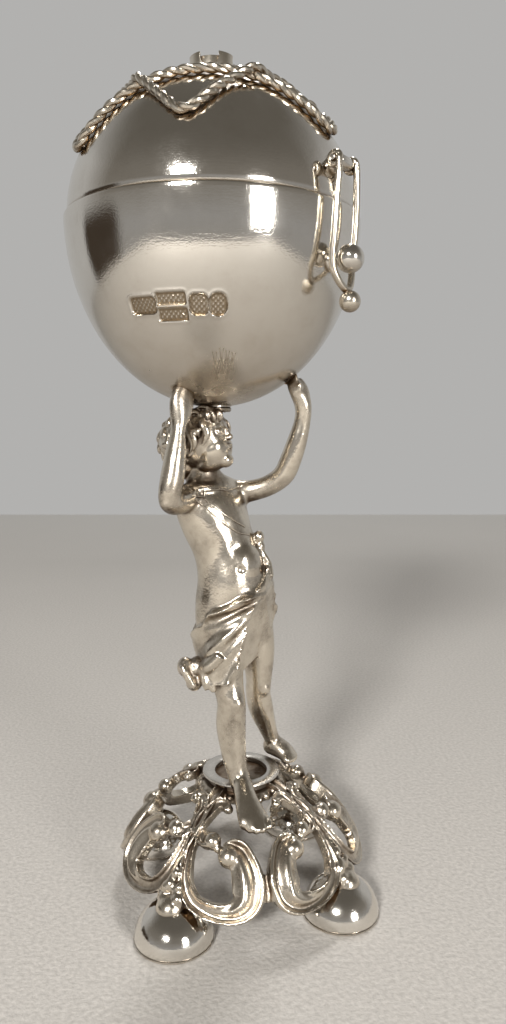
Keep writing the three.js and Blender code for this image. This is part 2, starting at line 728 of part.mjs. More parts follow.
// Loincloth: folds run round the hips, and a slanting cut gives the cloth its top edge.
function loincloth() {
  const levels = [
    [-0.6, 0.2, 0.555, 5.9, 5.7],
    [-0.8, 0.2, 0.48, 6.2, 5.6],
    [-1.0, -0.2, 0.41, 6.3, 5.7],
    [-1.6, -1.6, 0.34, 5.0, 5.2],
    [-1.9, -2.9, 0.275, 4.0, 4.4],
  ];
  const count = 8;
  const sides = 24;
  const path = new THREE.CatmullRomCurve3(levels.map(([x, y, share]) => v(x, y, high(share))));
  const sizes = new THREE.CatmullRomCurve3(levels.map(([, , , wide, deep]) => v(wide, deep, 0)));
  const rings = [];
  for (let i = 0; i <= count; i++) {
    const t = 1 - i / count;
    const size = sizes.getPoint(t);
    const section = Array.from({ length: sides }, (_, j) => {
      const turn = (2 * Math.PI * j) / sides;
      const fold = 0.32 * Math.cos(6 * turn + 5 * t);
      return [(size.x + fold) * Math.sin(turn), (size.y + fold) * Math.cos(turn)];
    });
    rings.push(ring(section, path.getPoint(t), Z, FRONT));
  }
  const slant = new THREE.BoxGeometry(40, 40, 20).translate(0, 0, 10).rotateY(-43 * DEGREE);
  slant.translate(0.4, 0, high(0.5));
  return skin(rings).subtract(solid(slant));
}

function cloths() {
  const gathered = limb(
    [
      [-3.6, -4.6, high(0.36), 1.2, 1.4],
      [-4.8, -4.8, high(0.325), 1.0, 1.1],
      [-6.0, -4.9, high(0.305), 1.5, 1.6],
      [-7.2, -4.9, high(0.3), 1.5, 1.4],
      [-7.9, -4.9, high(0.31), 0.7, 0.7],
    ],
    Z,
    8,
    2,
  );
  const tail = limb(
    [
      [-4.4, -5.0, high(0.32), 1.1, 0.9],
      [-4.9, -5.3, high(0.29), 1.3, 1.0],
      [-5.5, -5.4, high(0.262), 0.7, 0.6],
    ],
    FRONT,
    8,
    2,
  );
  const knot = ovoid(v(2.2, 0.2, high(0.655)), [1.0, 1.5, 1.6], FIGURE_TURN, 0, 1);
  const strap = limb(
    [
      [-6.6, -4.0, high(0.8), 0.9, 0.4],
      [-3.2, -4.2, high(0.755), 1.0, 0.5],
      [0.0, -2.6, high(0.71), 1.0, 0.5],
      [2.2, 0.0, high(0.66), 0.9, 0.5],
    ],
    FRONT,
    8,
    2,
  );
  return [gathered, tail, knot, strap];
}

function figureBody() {
  const whole = joined([torso(), ...head(), ...legs(), loincloth(), ...cloths()]);
  const collar = turned([[0, CROWN_TOP - 4], [COLLAR_RADIUS + SIDE_GAP, CROWN_TOP - 4], [COLLAR_RADIUS + SIDE_GAP, COLLAR_TOP], [0, COLLAR_TOP]]);
  const above = block(40, 40, 20, v(0, 0, HEAD_TOP + 10));
  const socket = rod(STUD_RADIUS + TURNING_GAP, STUD_DEPTH + SIDE_GAP, v(GLOBE_SHIFT, 0, HEAD_TOP - STUD_DEPTH - SIDE_GAP), Z);
  return whole
    .subtract(collar)
    .subtract(domeForm(SCROLL_THICKNESS / 2 + SIDE_GAP))
    .subtract(above)
    .subtract(socket);
}

// An arm from its shoulder to the palm under the bowl; it butts against the torso.
function arm(stations, palm) {
  const reach = Math.hypot(palm[0] - GLOBE_SHIFT, palm[1]);
  const under = RIM - BOWL_DEPTH * Math.sqrt(1 - (reach / BOWL_RADIUS) ** 2);
  const wrist = [palm[0] + palm[2], palm[1] + palm[3], under - 3.6, 1.05, 1.15];
  const hand = [palm[0], palm[1], under - 0.9, 1.4, 1.5];
  const tip = [palm[0] - palm[2] * 0.4, palm[1] - palm[3] * 0.4, under + 0.6, 1.2, 1.3];
  const above = stations.map(([x, y, share, wide, deep]) => [x, y, high(share), wide, deep]);
  return limb([...above, wrist, hand, tip], FRONT, 10, 2)
    .subtract(torso(TURNING_GAP))
    .subtract(bowlForm(SOLDER_GAP).translate([GLOBE_SHIFT, 0, 0]));
}

// The figure's own right arm stands nearer the front, its left arm to the right.
const rightArm = () =>
  arm(
    [
      [-7.6, -2.4, 0.775, 2.0, 2.0],
      [-8.9, -5.8, 0.772, 1.8, 1.9],
      [-9.8, -8.6, 0.782, 1.6, 1.7],
      [-9.3, -8.5, 0.84, 1.55, 1.7],
      [-8.5, -7.9, 0.9, 1.4, 1.55],
    ],
    [-7.6, -7.0, -0.3, -0.5],
  );

const leftArm = () =>
  arm(
    [
      [-0.9, 2.4, 0.785, 1.9, 1.9],
      [2.6, 2.0, 0.792, 1.7, 1.7],
      [6.6, 0.8, 0.82, 1.5, 1.6],
      [8.2, 0.2, 0.865, 1.45, 1.6],
      [9.0, -0.2, 0.93, 1.2, 1.35],
    ],
    [7.3, -0.8, 1.5, 0.4],
  );

// Materials
const metal = (colour, roughness) => new THREE.MeshStandardMaterial({ color: colour, roughness, metalness: 1 });
const castSilver = metal(0xb9ae98, 0.34);
const polishedSilver = metal(0xcfcac0, 0.14);
const wireSilver = metal(0xc4b99f, 0.28);
const brightSilver = metal(0xd8d4cc, 0.2);

// Assembly
const spiceBox = new THREE.Group();
const globe = new THREE.Group();
globe.position.set(GLOBE_SHIFT, 0, 0);
globe.rotation.z = GLOBE_TURN * DEGREE;
const upright = new THREE.Group();
upright.position.set(GLOBE_SHIFT, 0, 0);
spiceBox.add(globe, upright);

function add(name, made, material, parent = spiceBox) {
  const mesh = new THREE.Mesh(surface(made), material);
  mesh.name = name;
  parent.add(mesh);
}

add("base_openwork", baseOpenwork(), castSilver);
add("base_collar", baseCollar(), brightSilver);
const footNames = ["foot_front_left", "foot_front_right", "foot_rear_right", "foot_rear_left"];
footNames.forEach((name, i) => add(name, foot(FIRST_FOOT + (i * 360) / FOOT_COUNT), polishedSilver));
const figure = figureBody();
add("figure_body", figure, castSilver);
add("figure_right_arm", rightArm().subtract(figure), castSilver);
add("figure_left_arm", leftArm().subtract(figure), castSilver);

add("globe_seat", globeSeat(), castSilver, upright);
add("globe_stud", globeStud(), brightSilver, upright);
add("globe_washer", globeWasher(), brightSilver, upright);
add("globe_nut", globeNut(), brightSilver, upright);
add("bowl_shell", bowlShell(), polishedSilver, globe);
add("bowl_bezel", bowlBezel(), brightSilver, globe);
add("lid_shell", lidShell(), polishedSilver, globe);
add("wire_loop_across", wireLoop(LOWER_CORNER, UPPER_CORNER, false), wireSilver, upright);
add("wire_loop_along", wireLoop(UPPER_CORNER, LOWER_CORNER, true), wireSilver, upright);
add("finial_collet", finialCollet(), wireSilver, upright);

const lowLeaf = RIM - LEAF_HEIGHT / 2;
const highLeaf = RIM + LEAF_HEIGHT / 2 + SIDE_GAP;
add("bowl_knuckle_left", knuckle(BOWL_KNUCKLE_OFFSET, BOWL_KNUCKLE_LENGTH, bowlForm, lowLeaf), polishedSilver, globe);
add("bowl_knuckle_right", knuckle(-HINGE_HALF, BOWL_KNUCKLE_LENGTH, bowlForm, lowLeaf), polishedSilver, globe);
add("lid_knuckle", knuckle(LID_KNUCKLE_START, LID_KNUCKLE_LENGTH, lidForm, highLeaf), polishedSilver, globe);
add("hinge_pin", hingePin(), brightSilver, globe);
add("latch_stud", latchStud(), polishedSilver, globe);
add("hasp_tube", haspTube(), polishedSilver, globe);
add("hasp_pin", haspPin(), brightSilver, globe);
add("hasp_loop", haspLoop(), wireSilver, globe);

// The origin is on the resting plane, under the middle of the whole outline.
const outline = new THREE.Box3().setFromObject(spiceBox, true).getCenter(v(0, 0, 0));
spiceBox.position.set(-outline.x, -outline.y, 0);
const assembly = new THREE.Group();
assembly.add(spiceBox);

export default assembly;
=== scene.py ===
# %% [markdown]
# # A silver spice box: a boy holds up a globe
# The construction is already made: a dome of openwork on four feet, a figure, and a globe whose
# hinged lid is shut by a wire hasp. This lesson dresses that frame. Each piece is modelled again as a
# silversmith would shape it, is given a silver that shows how it was worked, and then rides on the
# body of the frame that carries it, so the lid still opens and the hasp still swings.

# %% Load the frame
import json
import math

import bpy
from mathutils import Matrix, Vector

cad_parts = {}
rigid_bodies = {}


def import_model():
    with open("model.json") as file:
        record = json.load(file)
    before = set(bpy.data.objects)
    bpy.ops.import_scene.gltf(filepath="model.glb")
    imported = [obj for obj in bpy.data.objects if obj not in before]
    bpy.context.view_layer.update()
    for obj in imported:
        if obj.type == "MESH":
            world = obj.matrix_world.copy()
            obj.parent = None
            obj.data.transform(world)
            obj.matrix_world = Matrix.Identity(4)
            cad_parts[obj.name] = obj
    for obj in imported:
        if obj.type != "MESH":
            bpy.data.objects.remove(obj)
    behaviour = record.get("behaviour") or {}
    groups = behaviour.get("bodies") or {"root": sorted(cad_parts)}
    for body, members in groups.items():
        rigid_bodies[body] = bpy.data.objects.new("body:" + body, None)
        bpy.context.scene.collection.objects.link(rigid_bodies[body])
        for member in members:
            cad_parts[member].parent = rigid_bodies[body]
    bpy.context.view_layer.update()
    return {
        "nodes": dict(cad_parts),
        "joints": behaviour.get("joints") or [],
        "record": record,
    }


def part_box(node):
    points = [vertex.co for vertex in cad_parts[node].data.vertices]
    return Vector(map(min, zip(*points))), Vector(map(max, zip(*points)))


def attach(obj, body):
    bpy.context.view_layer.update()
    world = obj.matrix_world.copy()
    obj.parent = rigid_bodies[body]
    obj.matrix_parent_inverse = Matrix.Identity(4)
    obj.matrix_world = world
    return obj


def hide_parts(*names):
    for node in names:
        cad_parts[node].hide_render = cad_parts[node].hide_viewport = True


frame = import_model()

# %% [markdown]
# ## Places and sizes
# The frame says where everything is. The collar on the dome gives the axis that the base is turned
# about, and the bowl gives the axis, rim and radius of the globe. Everything below is worked out from
# these few places, so a piece can't drift away from what carries it.

# %% Places taken from the frame
MM = 0.001


def middle(node):
    low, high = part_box(node)
    return (low + high) / 2


def top(node):
    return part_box(node)[1].z


def bottom(node):
    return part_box(node)[0].z


def levels(node):
    low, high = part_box(node)
    return low.z, high.z


def width(node):
    low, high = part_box(node)
    return high.y - low.y


BASE = Vector((middle("base_collar").x, 0, 0))
GLOBE = Vector((middle("globe_seat").x, 0, 0))
HEAD_TOP = bottom("globe_seat")
GLOBE_BOTTOM = bottom("bowl_shell")
RIM = top("bowl_shell")
LID_TOP = top("lid_shell")
BOWL_RADIUS = width("bowl_shell") / 2
LID_RADIUS = width("lid_shell") / 2
BOWL_DEPTH = RIM - GLOBE_BOTTOM
LID_HEIGHT = LID_TOP - RIM
JOINTS = {joint["name"]: joint for joint in frame["joints"]}
HASP_PIN = Vector(JOINTS["hasp_hinge"]["pos_m"])
HINGE_PIN = Vector(JOINTS["lid_hinge"]["pos_m"])
print("globe", round(2000 * BOWL_RADIUS, 1), "mm across, rim at", round(1000 * RIM, 1), "mm")

# %% [markdown]
# ## Camera
# The photograph was taken from close by, a little above the middle of the box and looking slightly
# down, which is why the feet look large and the rim curves upwards.

# %% Camera
CAMERA_AT = Vector((BASE.x + 1.83 * MM, -110 * MM, 70.1 * MM))
CAMERA_PITCH = 83
FOCAL_PIXELS = 758
FRAME_HEIGHT = 1024
SENSOR = 36

bpy.ops.object.select_all(action="DESELECT")
bpy.ops.object.camera_add(location=CAMERA_AT, rotation=(math.radians(CAMERA_PITCH), 0, 0))
camera = bpy.context.object
camera.name = "camera"
camera.data.sensor_width = SENSOR
camera.data.lens = SENSOR * FOCAL_PIXELS / FRAME_HEIGHT
camera.data.clip_start = 0.005
bpy.context.scene.camera = camera
print("camera lens", round(camera.data.lens, 2), "mm")

# %% [markdown]
# ## Floor, backdrop and light
# Polished silver is a mirror, so what stands around it matters as much as the lamps. A pale cloth
# floor gives the lower half of the globe its light tone, a grey surround gives the upper half its
# depth, and three soft lamps give the highlights.

# %% Shader helpers
def nodes_of(owner):
    owner.use_nodes = True
    owner.node_tree.nodes.clear()
    return owner.node_tree


def feed(tree, socket, value):
    """Link another node's output to a socket, or set it to a number or a colour."""
    if isinstance(value, bpy.types.NodeSocket):
        tree.links.new(value, socket)
    else:
        socket.default_value = (*value, 1) if socket.type == "RGBA" else value


def put(tree, kind, **values):
    """A new node; a key that names an input feeds it, and any other key is a property."""
    node = tree.nodes.new("ShaderNode" + kind)
    for key, value in values.items():
        socket = node.inputs.get(key.replace("_", " ").title())
        if socket is None:
            setattr(node, key, value)
        else:
            feed(tree, socket, value)
    return node


def speckle(tree, where, scale, detail, **more):
    return put(tree, "TexNoise", vector=where, scale=scale, detail=detail, **more).outputs["Fac"]


def axes(tree, where):
    return put(tree, "SeparateXYZ", vector=where).outputs


def ramp(tree, factor, stops):
    node = put(tree, "ValToRGB", fac=factor)
    elements = node.color_ramp.elements
    while len(elements) < len(stops):
        elements.new(0.5)
    for element, (position, colour) in zip(elements, stops):
        element.position = position
        element.color = (*colour, 1)
    return node.outputs["Color"]


def sums(tree, operation, first, second, clamp=False):
    node = put(tree, "Math", operation=operation, use_clamp=clamp)
    feed(tree, node.inputs[0], first)
    feed(tree, node.inputs[1], second)
    return node.outputs[0]


def remap(tree, value, low, high, start=0.0, end=1.0):
    limits = {"from_min": low, "from_max": high, "to_min": start, "to_max": end}
    return put(tree, "MapRange", value=value, **limits).outputs[0]


def mixed(tree, factor, first, second):
    node = put(tree, "Mix", data_type="RGBA")
    for i, value in ((0, factor), (6, first), (7, second)):
        feed(tree, node.inputs[i], value)
    return node.outputs[2]


# %% Floor
FLOOR_HALF = 445 * MM
NEAR_EDGE = -0.02
# Painted shade: the cloth's colour darkens from the near edge to a band behind the box and lightens again at
# the far edge, as the light falls off across the floor.
FLOOR_SHADE_TONES = [(0.0, (0.53, 0.52, 0.50)), (0.4, (0.455, 0.438, 0.415)), (1.0, (0.565, 0.535, 0.50))]

bpy.ops.object.select_all(action="DESELECT")
bpy.ops.mesh.primitive_plane_add(size=2 * FLOOR_HALF, location=(0, 0, 0))
floor = bpy.context.object
floor.name = "floor"

cloth = bpy.data.materials.new("floor_cloth")
tree = nodes_of(cloth)
place = put(tree, "TexCoord").outputs["Object"]
floor_shade_tone = ramp(tree, remap(tree, axes(tree, place)["Y"], FLOOR_HALF, NEAR_EDGE), FLOOR_SHADE_TONES)
patches = remap(tree, speckle(tree, place, 9.0, 3.0), 0.35, 0.65, 0.0, 0.12)
weave = speckle(tree, place, 1500.0, 2.0)
# The cloth's random patches and its weave are mixed over the painted shade.
patches_on_shade = mixed(tree, patches, floor_shade_tone, (0.62, 0.60, 0.57))
grain = mixed(tree, remap(tree, weave, 0.3, 0.7, 0.0, 0.34), patches_on_shade, (0.24, 0.23, 0.21))
bump = put(tree, "Bump", strength=0.4, distance=0.0003, height=weave).outputs["Normal"]
shade = put(tree, "BsdfPrincipled", roughness=0.9, base_color=grain, normal=bump)
put(tree, "OutputMaterial", surface=shade.outputs[0])
floor.data.materials.append(cloth)
print("floor reaches", round(1000 * FLOOR_HALF), "mm behind the box")

# %% Surround
WALL = (0.445, 0.44, 0.43)
DOORWAY = (0.05, 0.038, 0.028)
ROOM = [
    (0.0, (0.30, 0.285, 0.26)), (0.30, (0.31, 0.305, 0.30)), (0.40, (0.27, 0.26, 0.245)),
    (0.52, (0.20, 0.185, 0.165)), (1.0, (0.12, 0.11, 0.095)),
]

world = bpy.data.worlds.new("studio")
bpy.context.scene.world = world
tree = nodes_of(world)
way = axes(tree, put(tree, "TexCoord").outputs["Generated"])
room = ramp(tree, remap(tree, way["Z"], -0.4, 1.0), ROOM)
doorway = remap(tree, way["Z"], 0.22, 0.12)
for axis, edge, inside in (("X", -0.925, -0.96), ("Y", 0.34, 0.30)):
    doorway = sums(tree, "MULTIPLY", doorway, remap(tree, way[axis], edge, inside))
behind = mixed(tree, remap(tree, way["Y"], -0.1, 0.4), room, WALL)
around = mixed(tree, doorway, behind, DOORWAY)
above = remap(tree, way["Z"], 0.5, 0.85)
air = put(tree, "Background", color=mixed(tree, above, around, ROOM[-1][1]), strength=1.0)
put(tree, "OutputWorld", surface=air.outputs[0])

# %% Lamps
BOX_MIDDLE = Vector((BASE.x, 0, 60 * MM))
LAMPS = [
    ("window_right", (0.48, -0.62, 0.20), (0.17, 0.28), 3.0, (1, 0.985, 0.96)),
    ("lamp_left", (-0.24, -0.67, 0.40), (0.14, 0.08), 6.6, (1, 0.985, 0.96)),
    ("skylight", (0.08, 0.50, 0.86), (0.16, 0.16), 3.2, (1, 0.99, 0.98)),
]
for name, place, size, power, colour in LAMPS:
    bpy.ops.object.light_add(type="AREA", location=place)
    lamp = bpy.context.object
    lamp.name = name
    lamp.data.shape = "RECTANGLE"
    lamp.data.size, lamp.data.size_y = size
    lamp.data.energy, lamp.data.color = power, colour
    lamp.rotation_euler = (BOX_MIDDLE - Vector(place)).to_track_quat("-Z", "Y").to_euler()
bpy.context.scene.view_settings.view_transform = "Standard"
print("lamps:", [name for name, *_ in LAMPS])

# %% [markdown]
# ## The silver
# All the metal is one silver, worked in different ways. Two effects are shared: `tarnish`, the brown
# film that polishing leaves in the recesses, and `polish_marks`, the hairlines and soft dents of old
# polished sheet. Each is a node group with its own inputs, so every finish sets its own amounts.


# %% Shared effects
def group(name, inputs, outputs):
    """A new node group, with the outputs of its input node and the inputs of its output node."""
    tree = bpy.data.node_groups.new(name, "ShaderNodeTree")
    for socket, kind, *value in inputs:
        made = tree.interface.new_socket(socket, in_out="INPUT", socket_type="NodeSocket" + kind)
        if value:
            made.default_value = value[0]
    for socket, kind in outputs:
        tree.interface.new_socket(socket, in_out="OUTPUT", socket_type="NodeSocket" + kind)
    return tree, tree.nodes.new("NodeGroupInput").outputs, tree.nodes.new("NodeGroupOutput").inputs


tarnish, into, back = group(
    "tarnish",
    [("Vector", "Vector"), ("Reach", "Float", 0.9 * MM), ("Spread", "Float", 0.5), ("Amount", "Float", 0.8)],
    [("Mask", "Float")],
)
recess = put(tarnish, "AmbientOcclusion", samples=6, distance=into["Reach"]).outputs["AO"]
hollow = remap(tarnish, recess, 0.35, 0.95, 1.0, 0.0)
blotch = remap(tarnish, speckle(tarnish, into["Vector"], 260.0, 4.0, roughness=0.6), 0.42, 0.72)
speck = remap(tarnish, speckle(tarnish, into["Vector"], 1500.0, 3.0), 0.35, 0.7, 0.45, 1.0)
film = sums(tarnish, "MULTIPLY", sums(tarnish, "MULTIPLY", blotch, into["Spread"]), speck)
both = sums(tarnish, "ADD", hollow, film, clamp=True)
feed(tarnish, back["Mask"], sums(tarnish, "MULTIPLY", both, into["Amount"]))

polish_marks, into, back = group(
    "polish_marks",
    [("Vector", "Vector"), ("Hairlines", "Float", 0.08), ("Dents", "Float", 0.1)],
    [("Normal", "Vector"), ("Wear", "Float")],
)
lines = []
for turn, stretch, scale in (
    ((0.5, 0.3, 0.9), (1.0, 0.06, 1.0), 5200.0), ((-0.7, 1.1, -0.4), (0.06, 1.0, 1.0), 3900.0),
):
    turned = put(polish_marks, "Mapping", vector=into["Vector"], rotation=turn, scale=stretch)
    lines.append(speckle(polish_marks, turned.outputs["Vector"], scale, 2.0))
dents = speckle(polish_marks, into["Vector"], 85.0, 1.5)
bumps = put(polish_marks, "Bump", distance=0.001, strength=into["Dents"], height=dents).outputs["Normal"]
hair = sums(polish_marks, "ADD", *lines)
bumps = put(polish_marks, "Bump", distance=0.00003, strength=into["Hairlines"], height=hair, normal=bumps)
feed(polish_marks, back["Normal"], bumps.outputs["Normal"])
smear = speckle(polish_marks, into["Vector"], 140.0, 5.0, roughness=0.65)
feed(polish_marks, back["Wear"], remap(polish_marks, smear, 0.35, 0.7))
print("shared effects:", [g.name for g in bpy.data.node_groups])

# %% [markdown]
# ## Four finishes
# The globe and the feet are polished sheet, almost a mirror. The figure and the dome are castings,
# brushed bright on their high places and brown with patina in the hollows. Every finish is also given
# painted shade on faces that turn downwards. The twisted wire keeps a warm film between its strands,
# and the small turned pieces are plain and satiny. A mesh attribute marks the sunk punches, whose film
# polishing never reaches, and the dark plate in the collar, whose colour is painted shade.

# %% Finishes
# Each silver: bright colour, film colour, roughness where smooth and where worn, hairlines, dents,
# then the film's reach, spread and amount, and the grain of its skin.
SILVERS = {
    "polished_silver": (
        (0.82, 0.785, 0.725), (0.29, 0.225, 0.15), 0.05, 0.14, 0.26, 0.045, 0.6 * MM, 0.16, 0.85, 0.05
    ),
    "cast_silver": (
        (0.80, 0.73, 0.62), (0.085, 0.05, 0.026), 0.11, 0.24, 0.12, 0.16, 2.8 * MM, 0.75, 0.95, 0.45
    ),
    "wire_silver": ((0.76, 0.70, 0.60), (0.16, 0.10, 0.05), 0.15, 0.25, 0.10, 0.05, 0.8 * MM, 0.3, 0.92, 0.2),
    "bright_silver": (
        (0.74, 0.71, 0.66), (0.16, 0.105, 0.055), 0.17, 0.30, 0.15, 0.05, 1.6 * MM, 0.3, 0.88, 0.2
    ),
}
# Painted shade: faces that turn downwards are given up to this share of the film colour.
PAINTED_SHADE_BENEATH = 0.62
# The sunk punches' patina and the collar plate's painted shade are given this share of the film colour.
FILM_STRUCK_AND_SHADE = 0.7
FILM_ROUGHNESS = 0.3


def silver(name, bright, film, smooth, rough, hairlines, dents, reach, spread, amount, grain):
    made = bpy.data.materials.new(name)
    tree = nodes_of(made)
    spot = put(tree, "TexCoord").outputs
    place = spot["Object"]
    dark = put(tree, "Group", node_tree=tarnish, vector=place, reach=reach, spread=spread, amount=amount)
    marks = put(tree, "Group", node_tree=polish_marks, vector=place, hairlines=hairlines, dents=dents).outputs
    # Painted shade beneath: the film colour grows as the face turns downwards.
    painted_shade_beneath = remap(tree, axes(tree, spot["Normal"])["Z"], -0.25, -0.95, 0.0, PAINTED_SHADE_BENEATH)
    struck_and_shaded = put(tree, "Attribute", attribute_name="struck_and_shaded").outputs["Fac"]
    struck_film_and_shade = sums(tree, "ADD", sums(tree, "MULTIPLY", struck_and_shaded, FILM_STRUCK_AND_SHADE), painted_shade_beneath)
    # The colour mask adds the tarnish patina, the punches' patina, and painted shade beneath and on the
    # collar plate.
    film_and_shade_mask = sums(tree, "ADD", dark.outputs["Mask"], struck_film_and_shade, clamp=True)
    worn = remap(tree, marks["Wear"], 0.0, 1.0, smooth, rough)
    rough = sums(tree, "ADD", worn, sums(tree, "MULTIPLY", film_and_shade_mask, FILM_ROUGHNESS), clamp=True)
    pits = speckle(tree, place, 2600.0, 3.0)
    skin = put(tree, "Bump", strength=grain, distance=0.00006, height=pits, normal=marks["Normal"])
    shade = put(tree, "BsdfPrincipled", metallic=1.0, roughness=rough, normal=skin.outputs["Normal"])
    feed(tree, shade.inputs["Base Color"], mixed(tree, film_and_shade_mask, bright, film))
    put(tree, "OutputMaterial", surface=shade.outputs[0])
    return made


FINISHES = {name: silver(name, *values) for name, values in SILVERS.items()}
for node, shown in frame["nodes"].items():
    entry = next(part for part in frame["record"]["subparts"] if part["node"] == node)
    shown.data.materials.clear()
    shown.data.materials.append(FINISHES[entry["material_slot"]])
print("finishes:", list(FINISHES))

# %% [markdown]
# ## Working tools
# A few habits repeat for every piece: clear the selection, add a primitive, shape it in edit mode,
# finish it with modifiers that are applied, and say which body it rides on and which part of the frame
# it stands for. They are written once here.


# %% Small tools
def deselect():
    if bpy.context.mode != "OBJECT":
        bpy.ops.object.mode_set(mode="OBJECT")
    bpy.ops.object.select_all(action="DESELECT")


def take(name):
    """The object that was just added, under its own name."""
    obj = bpy.context.object
    obj.name = name
    obj.data.name = name
    return obj


def only(obj):
    deselect()
    obj.select_set(True)
    bpy.context.view_layer.objects.active = obj


def edit(obj):
    only(obj)
    bpy.ops.object.mode_set(mode="EDIT")
    bpy.ops.mesh.select_all(action="SELECT")


def modify(obj, kind, **settings):
    """Add one modifier, set it and apply it."""
    only(obj)
    bpy.ops.object.modifier_add(type=kind)
    step = obj.modifiers[-1]
    for key, value in settings.items():
        setattr(step, key, value)
    bpy.ops.object.modifier_apply(modifier=step.name)
    return obj


def settle(obj):
    """Put the object's place into its mesh, as the frame's own pieces have it."""
    only(obj)
    bpy.ops.object.transform_apply(location=True, rotation=True, scale=True)
    return obj


def join(name, *pieces):
    deselect()
    for piece in pieces:
        piece.select_set(True)
    bpy.context.view_layer.objects.active = pieces[0]
    bpy.ops.object.join()
    return take(name)


def clean(obj, nearest=0.001 * MM, fill=False):
    """Weld the corners that meet, close open ends if asked, and turn every face outwards."""
    edit(obj)
    bpy.ops.mesh.remove_doubles(threshold=nearest)
    if fill:
        bpy.ops.mesh.select_all(action="SELECT")
        bpy.ops.mesh.fill_holes(sides=0)
    bpy.ops.mesh.select_all(action="SELECT")
    bpy.ops.mesh.normals_make_consistent(inside=False)
    deselect()
    return obj


def cut(obj, cutter):
    modify(obj, "BOOLEAN", operation="DIFFERENCE", solver="EXACT", object=cutter)
    bpy.data.objects.remove(cutter)
    return obj


def dress(obj, finish, body, *stands_for, crease=35):
    """Shade the piece, give it its silver, and hang it on the frame."""
    settle(obj)
    bpy.ops.object.shade_smooth_by_angle(angle=math.radians(crease))
    obj.data.materials.clear()
    obj.data.materials.append(FINISHES[finish])
    if stands_for:
        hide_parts(*stands_for)
    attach(obj, body)
    print(obj.name, len(obj.data.polygons), "faces on", body)
    return obj


def facing(azimuth):
    """The level direction at an azimuth in degrees, from the front and positive to the right."""
    turn = math.radians(azimuth)
    return Vector((math.sin(turn), -math.cos(turn), 0))


# %% [markdown]
# ### Turning
# Round pieces are turned as on a lathe: one corner is extruded along the profile, and the spin
# operator sweeps that line round its axis. Every profile closes on itself, so a shell has a real
# thickness.


# %% Lathe
def lathe(name, profile, centre, steps, start=0.0, end=360.0):
    """Turn a profile of (radius, height), from azimuth start to azimuth end."""
    deselect()
    bpy.ops.mesh.primitive_plane_add(size=MM, location=(0, 0, 0))
    obj = take(name)
    edit(obj)
    bpy.ops.mesh.merge(type="CENTER")
    out = facing(start)
    radius, height = profile[0]
    bpy.ops.transform.translate(value=Vector((centre[0], centre[1], height)) + out * radius)
    for before, after in zip(profile, profile[1:] + profile[:1]):
        move = out * (after[0] - before[0]) + Vector((0, 0, after[1] - before[1]))
        bpy.ops.mesh.extrude_region_move(TRANSFORM_OT_translate={"value": move})
    bpy.ops.mesh.select_all(action="SELECT")
    turn = math.radians(end - start)
    bpy.ops.mesh.spin(steps=steps, angle=-turn, center=(centre[0], centre[1], 0), axis=(0, 0, 1))
    return clean(obj)


def arc(radius, height, level, start, end, count):
    """Points of an upright quarter ellipse, from one angle below the level to another above it."""
    turns = [math.radians(start + (end - start) * i / count) for i in range(count + 1)]
    return [(radius * math.cos(turn), level + height * math.sin(turn)) for turn in turns]


# %% [markdown]
# ### Bars and wire
# Pins and tubes are cylinders that stand along a direction. Wire is drawn as a curve with a round
# bevel, because a curve keeps its thickness however it bends, and is then converted to a mesh.


# %% Bars and wire
def bar(name, start, end, radius, sides=24, edge=0.0):
    deselect()
    along = Vector(end) - Vector(start)
    turn = along.to_track_quat("Z", "Y").to_euler()
    centre = (Vector(start) + Vector(end)) / 2
    bpy.ops.mesh.primitive_cylinder_add(
        vertices=sides, radius=radius, depth=along.length, location=centre, rotation=turn
    )
    obj = settle(take(name))
    if edge:
        modify(obj, "BEVEL", width=edge, segments=2, limit_method="ANGLE")
    return obj


def wire(name, points, radius, closed=False, sides=3):
    """Round wire through points; sides sets how finely its section is rounded."""
    deselect()
    bpy.ops.curve.primitive_nurbs_path_add()
    obj = take(name)
    obj.data.splines.clear()
    line = obj.data.splines.new("POLY")
    line.points.add(len(points) - 1)
    for place, point in zip(points, line.points):
        point.co = (*place, 1)
    line.use_cyclic_u = closed
    obj.data.dimensions = "3D"
    obj.data.bevel_depth = radius
    obj.data.bevel_resolution = sides
    obj.data.use_fill_caps = not closed
    only(obj)
    bpy.ops.object.convert(target="MESH")
    return clean(take(name))


def between(t, p, q, r, s):
    """The value at the share t between q and r, on a smooth curve that also heeds p and s."""
    return 0.5 * (2 * q + (r - p) * t + (2 * p - 5 * q + 4 * r - s) * t**2 + (3 * q - p - 3 * r + s) * t**3)


def smooth_through(stations, steps):
    """Points on a smooth line through stations, given as tuples of any length."""
    points = []
    last = len(stations) - 1
    for i in range(last):
        near = [stations[min(max(k, 0), last)] for k in range(i - 1, i + 3)]
        for k in range(steps):
            points.append(tuple(between(k / steps, *values) for values in zip(*near)))
    return points + [tuple(stations[last])]


def pearl(name, centre, radius, segments=32, rings=20):
    deselect()
    bpy.ops.mesh.primitive_uv_sphere_add(segments=segments, ring_count=rings, radius=radius, location=centre)
    return settle(take(name))


print("tools ready")

# %% [markdown]
# ## The bowl
# The lower half of the globe is a raised and polished shell, a little deeper than half a ball, with a
# small flat where it sits on the figure's head. It is turned with its wall, and its rim is rounded so
# that it catches a bright line under the lid.

# %% Bowl
BOWL_WALL = 0.8 * MM
SEAT_RADIUS = 2.4 * MM
STUD_HOLE = 0.95 * MM
RIM_ROUND = 0.22 * MM
ARC_STEPS = 44
SPIN_STEPS = 144
MARKS_START, MARKS_END = -39, 15
MARKS_LOW, MARKS_HIGH = 79.6 * MM, 87.0 * MM
OUTSIDE_END = -1.6

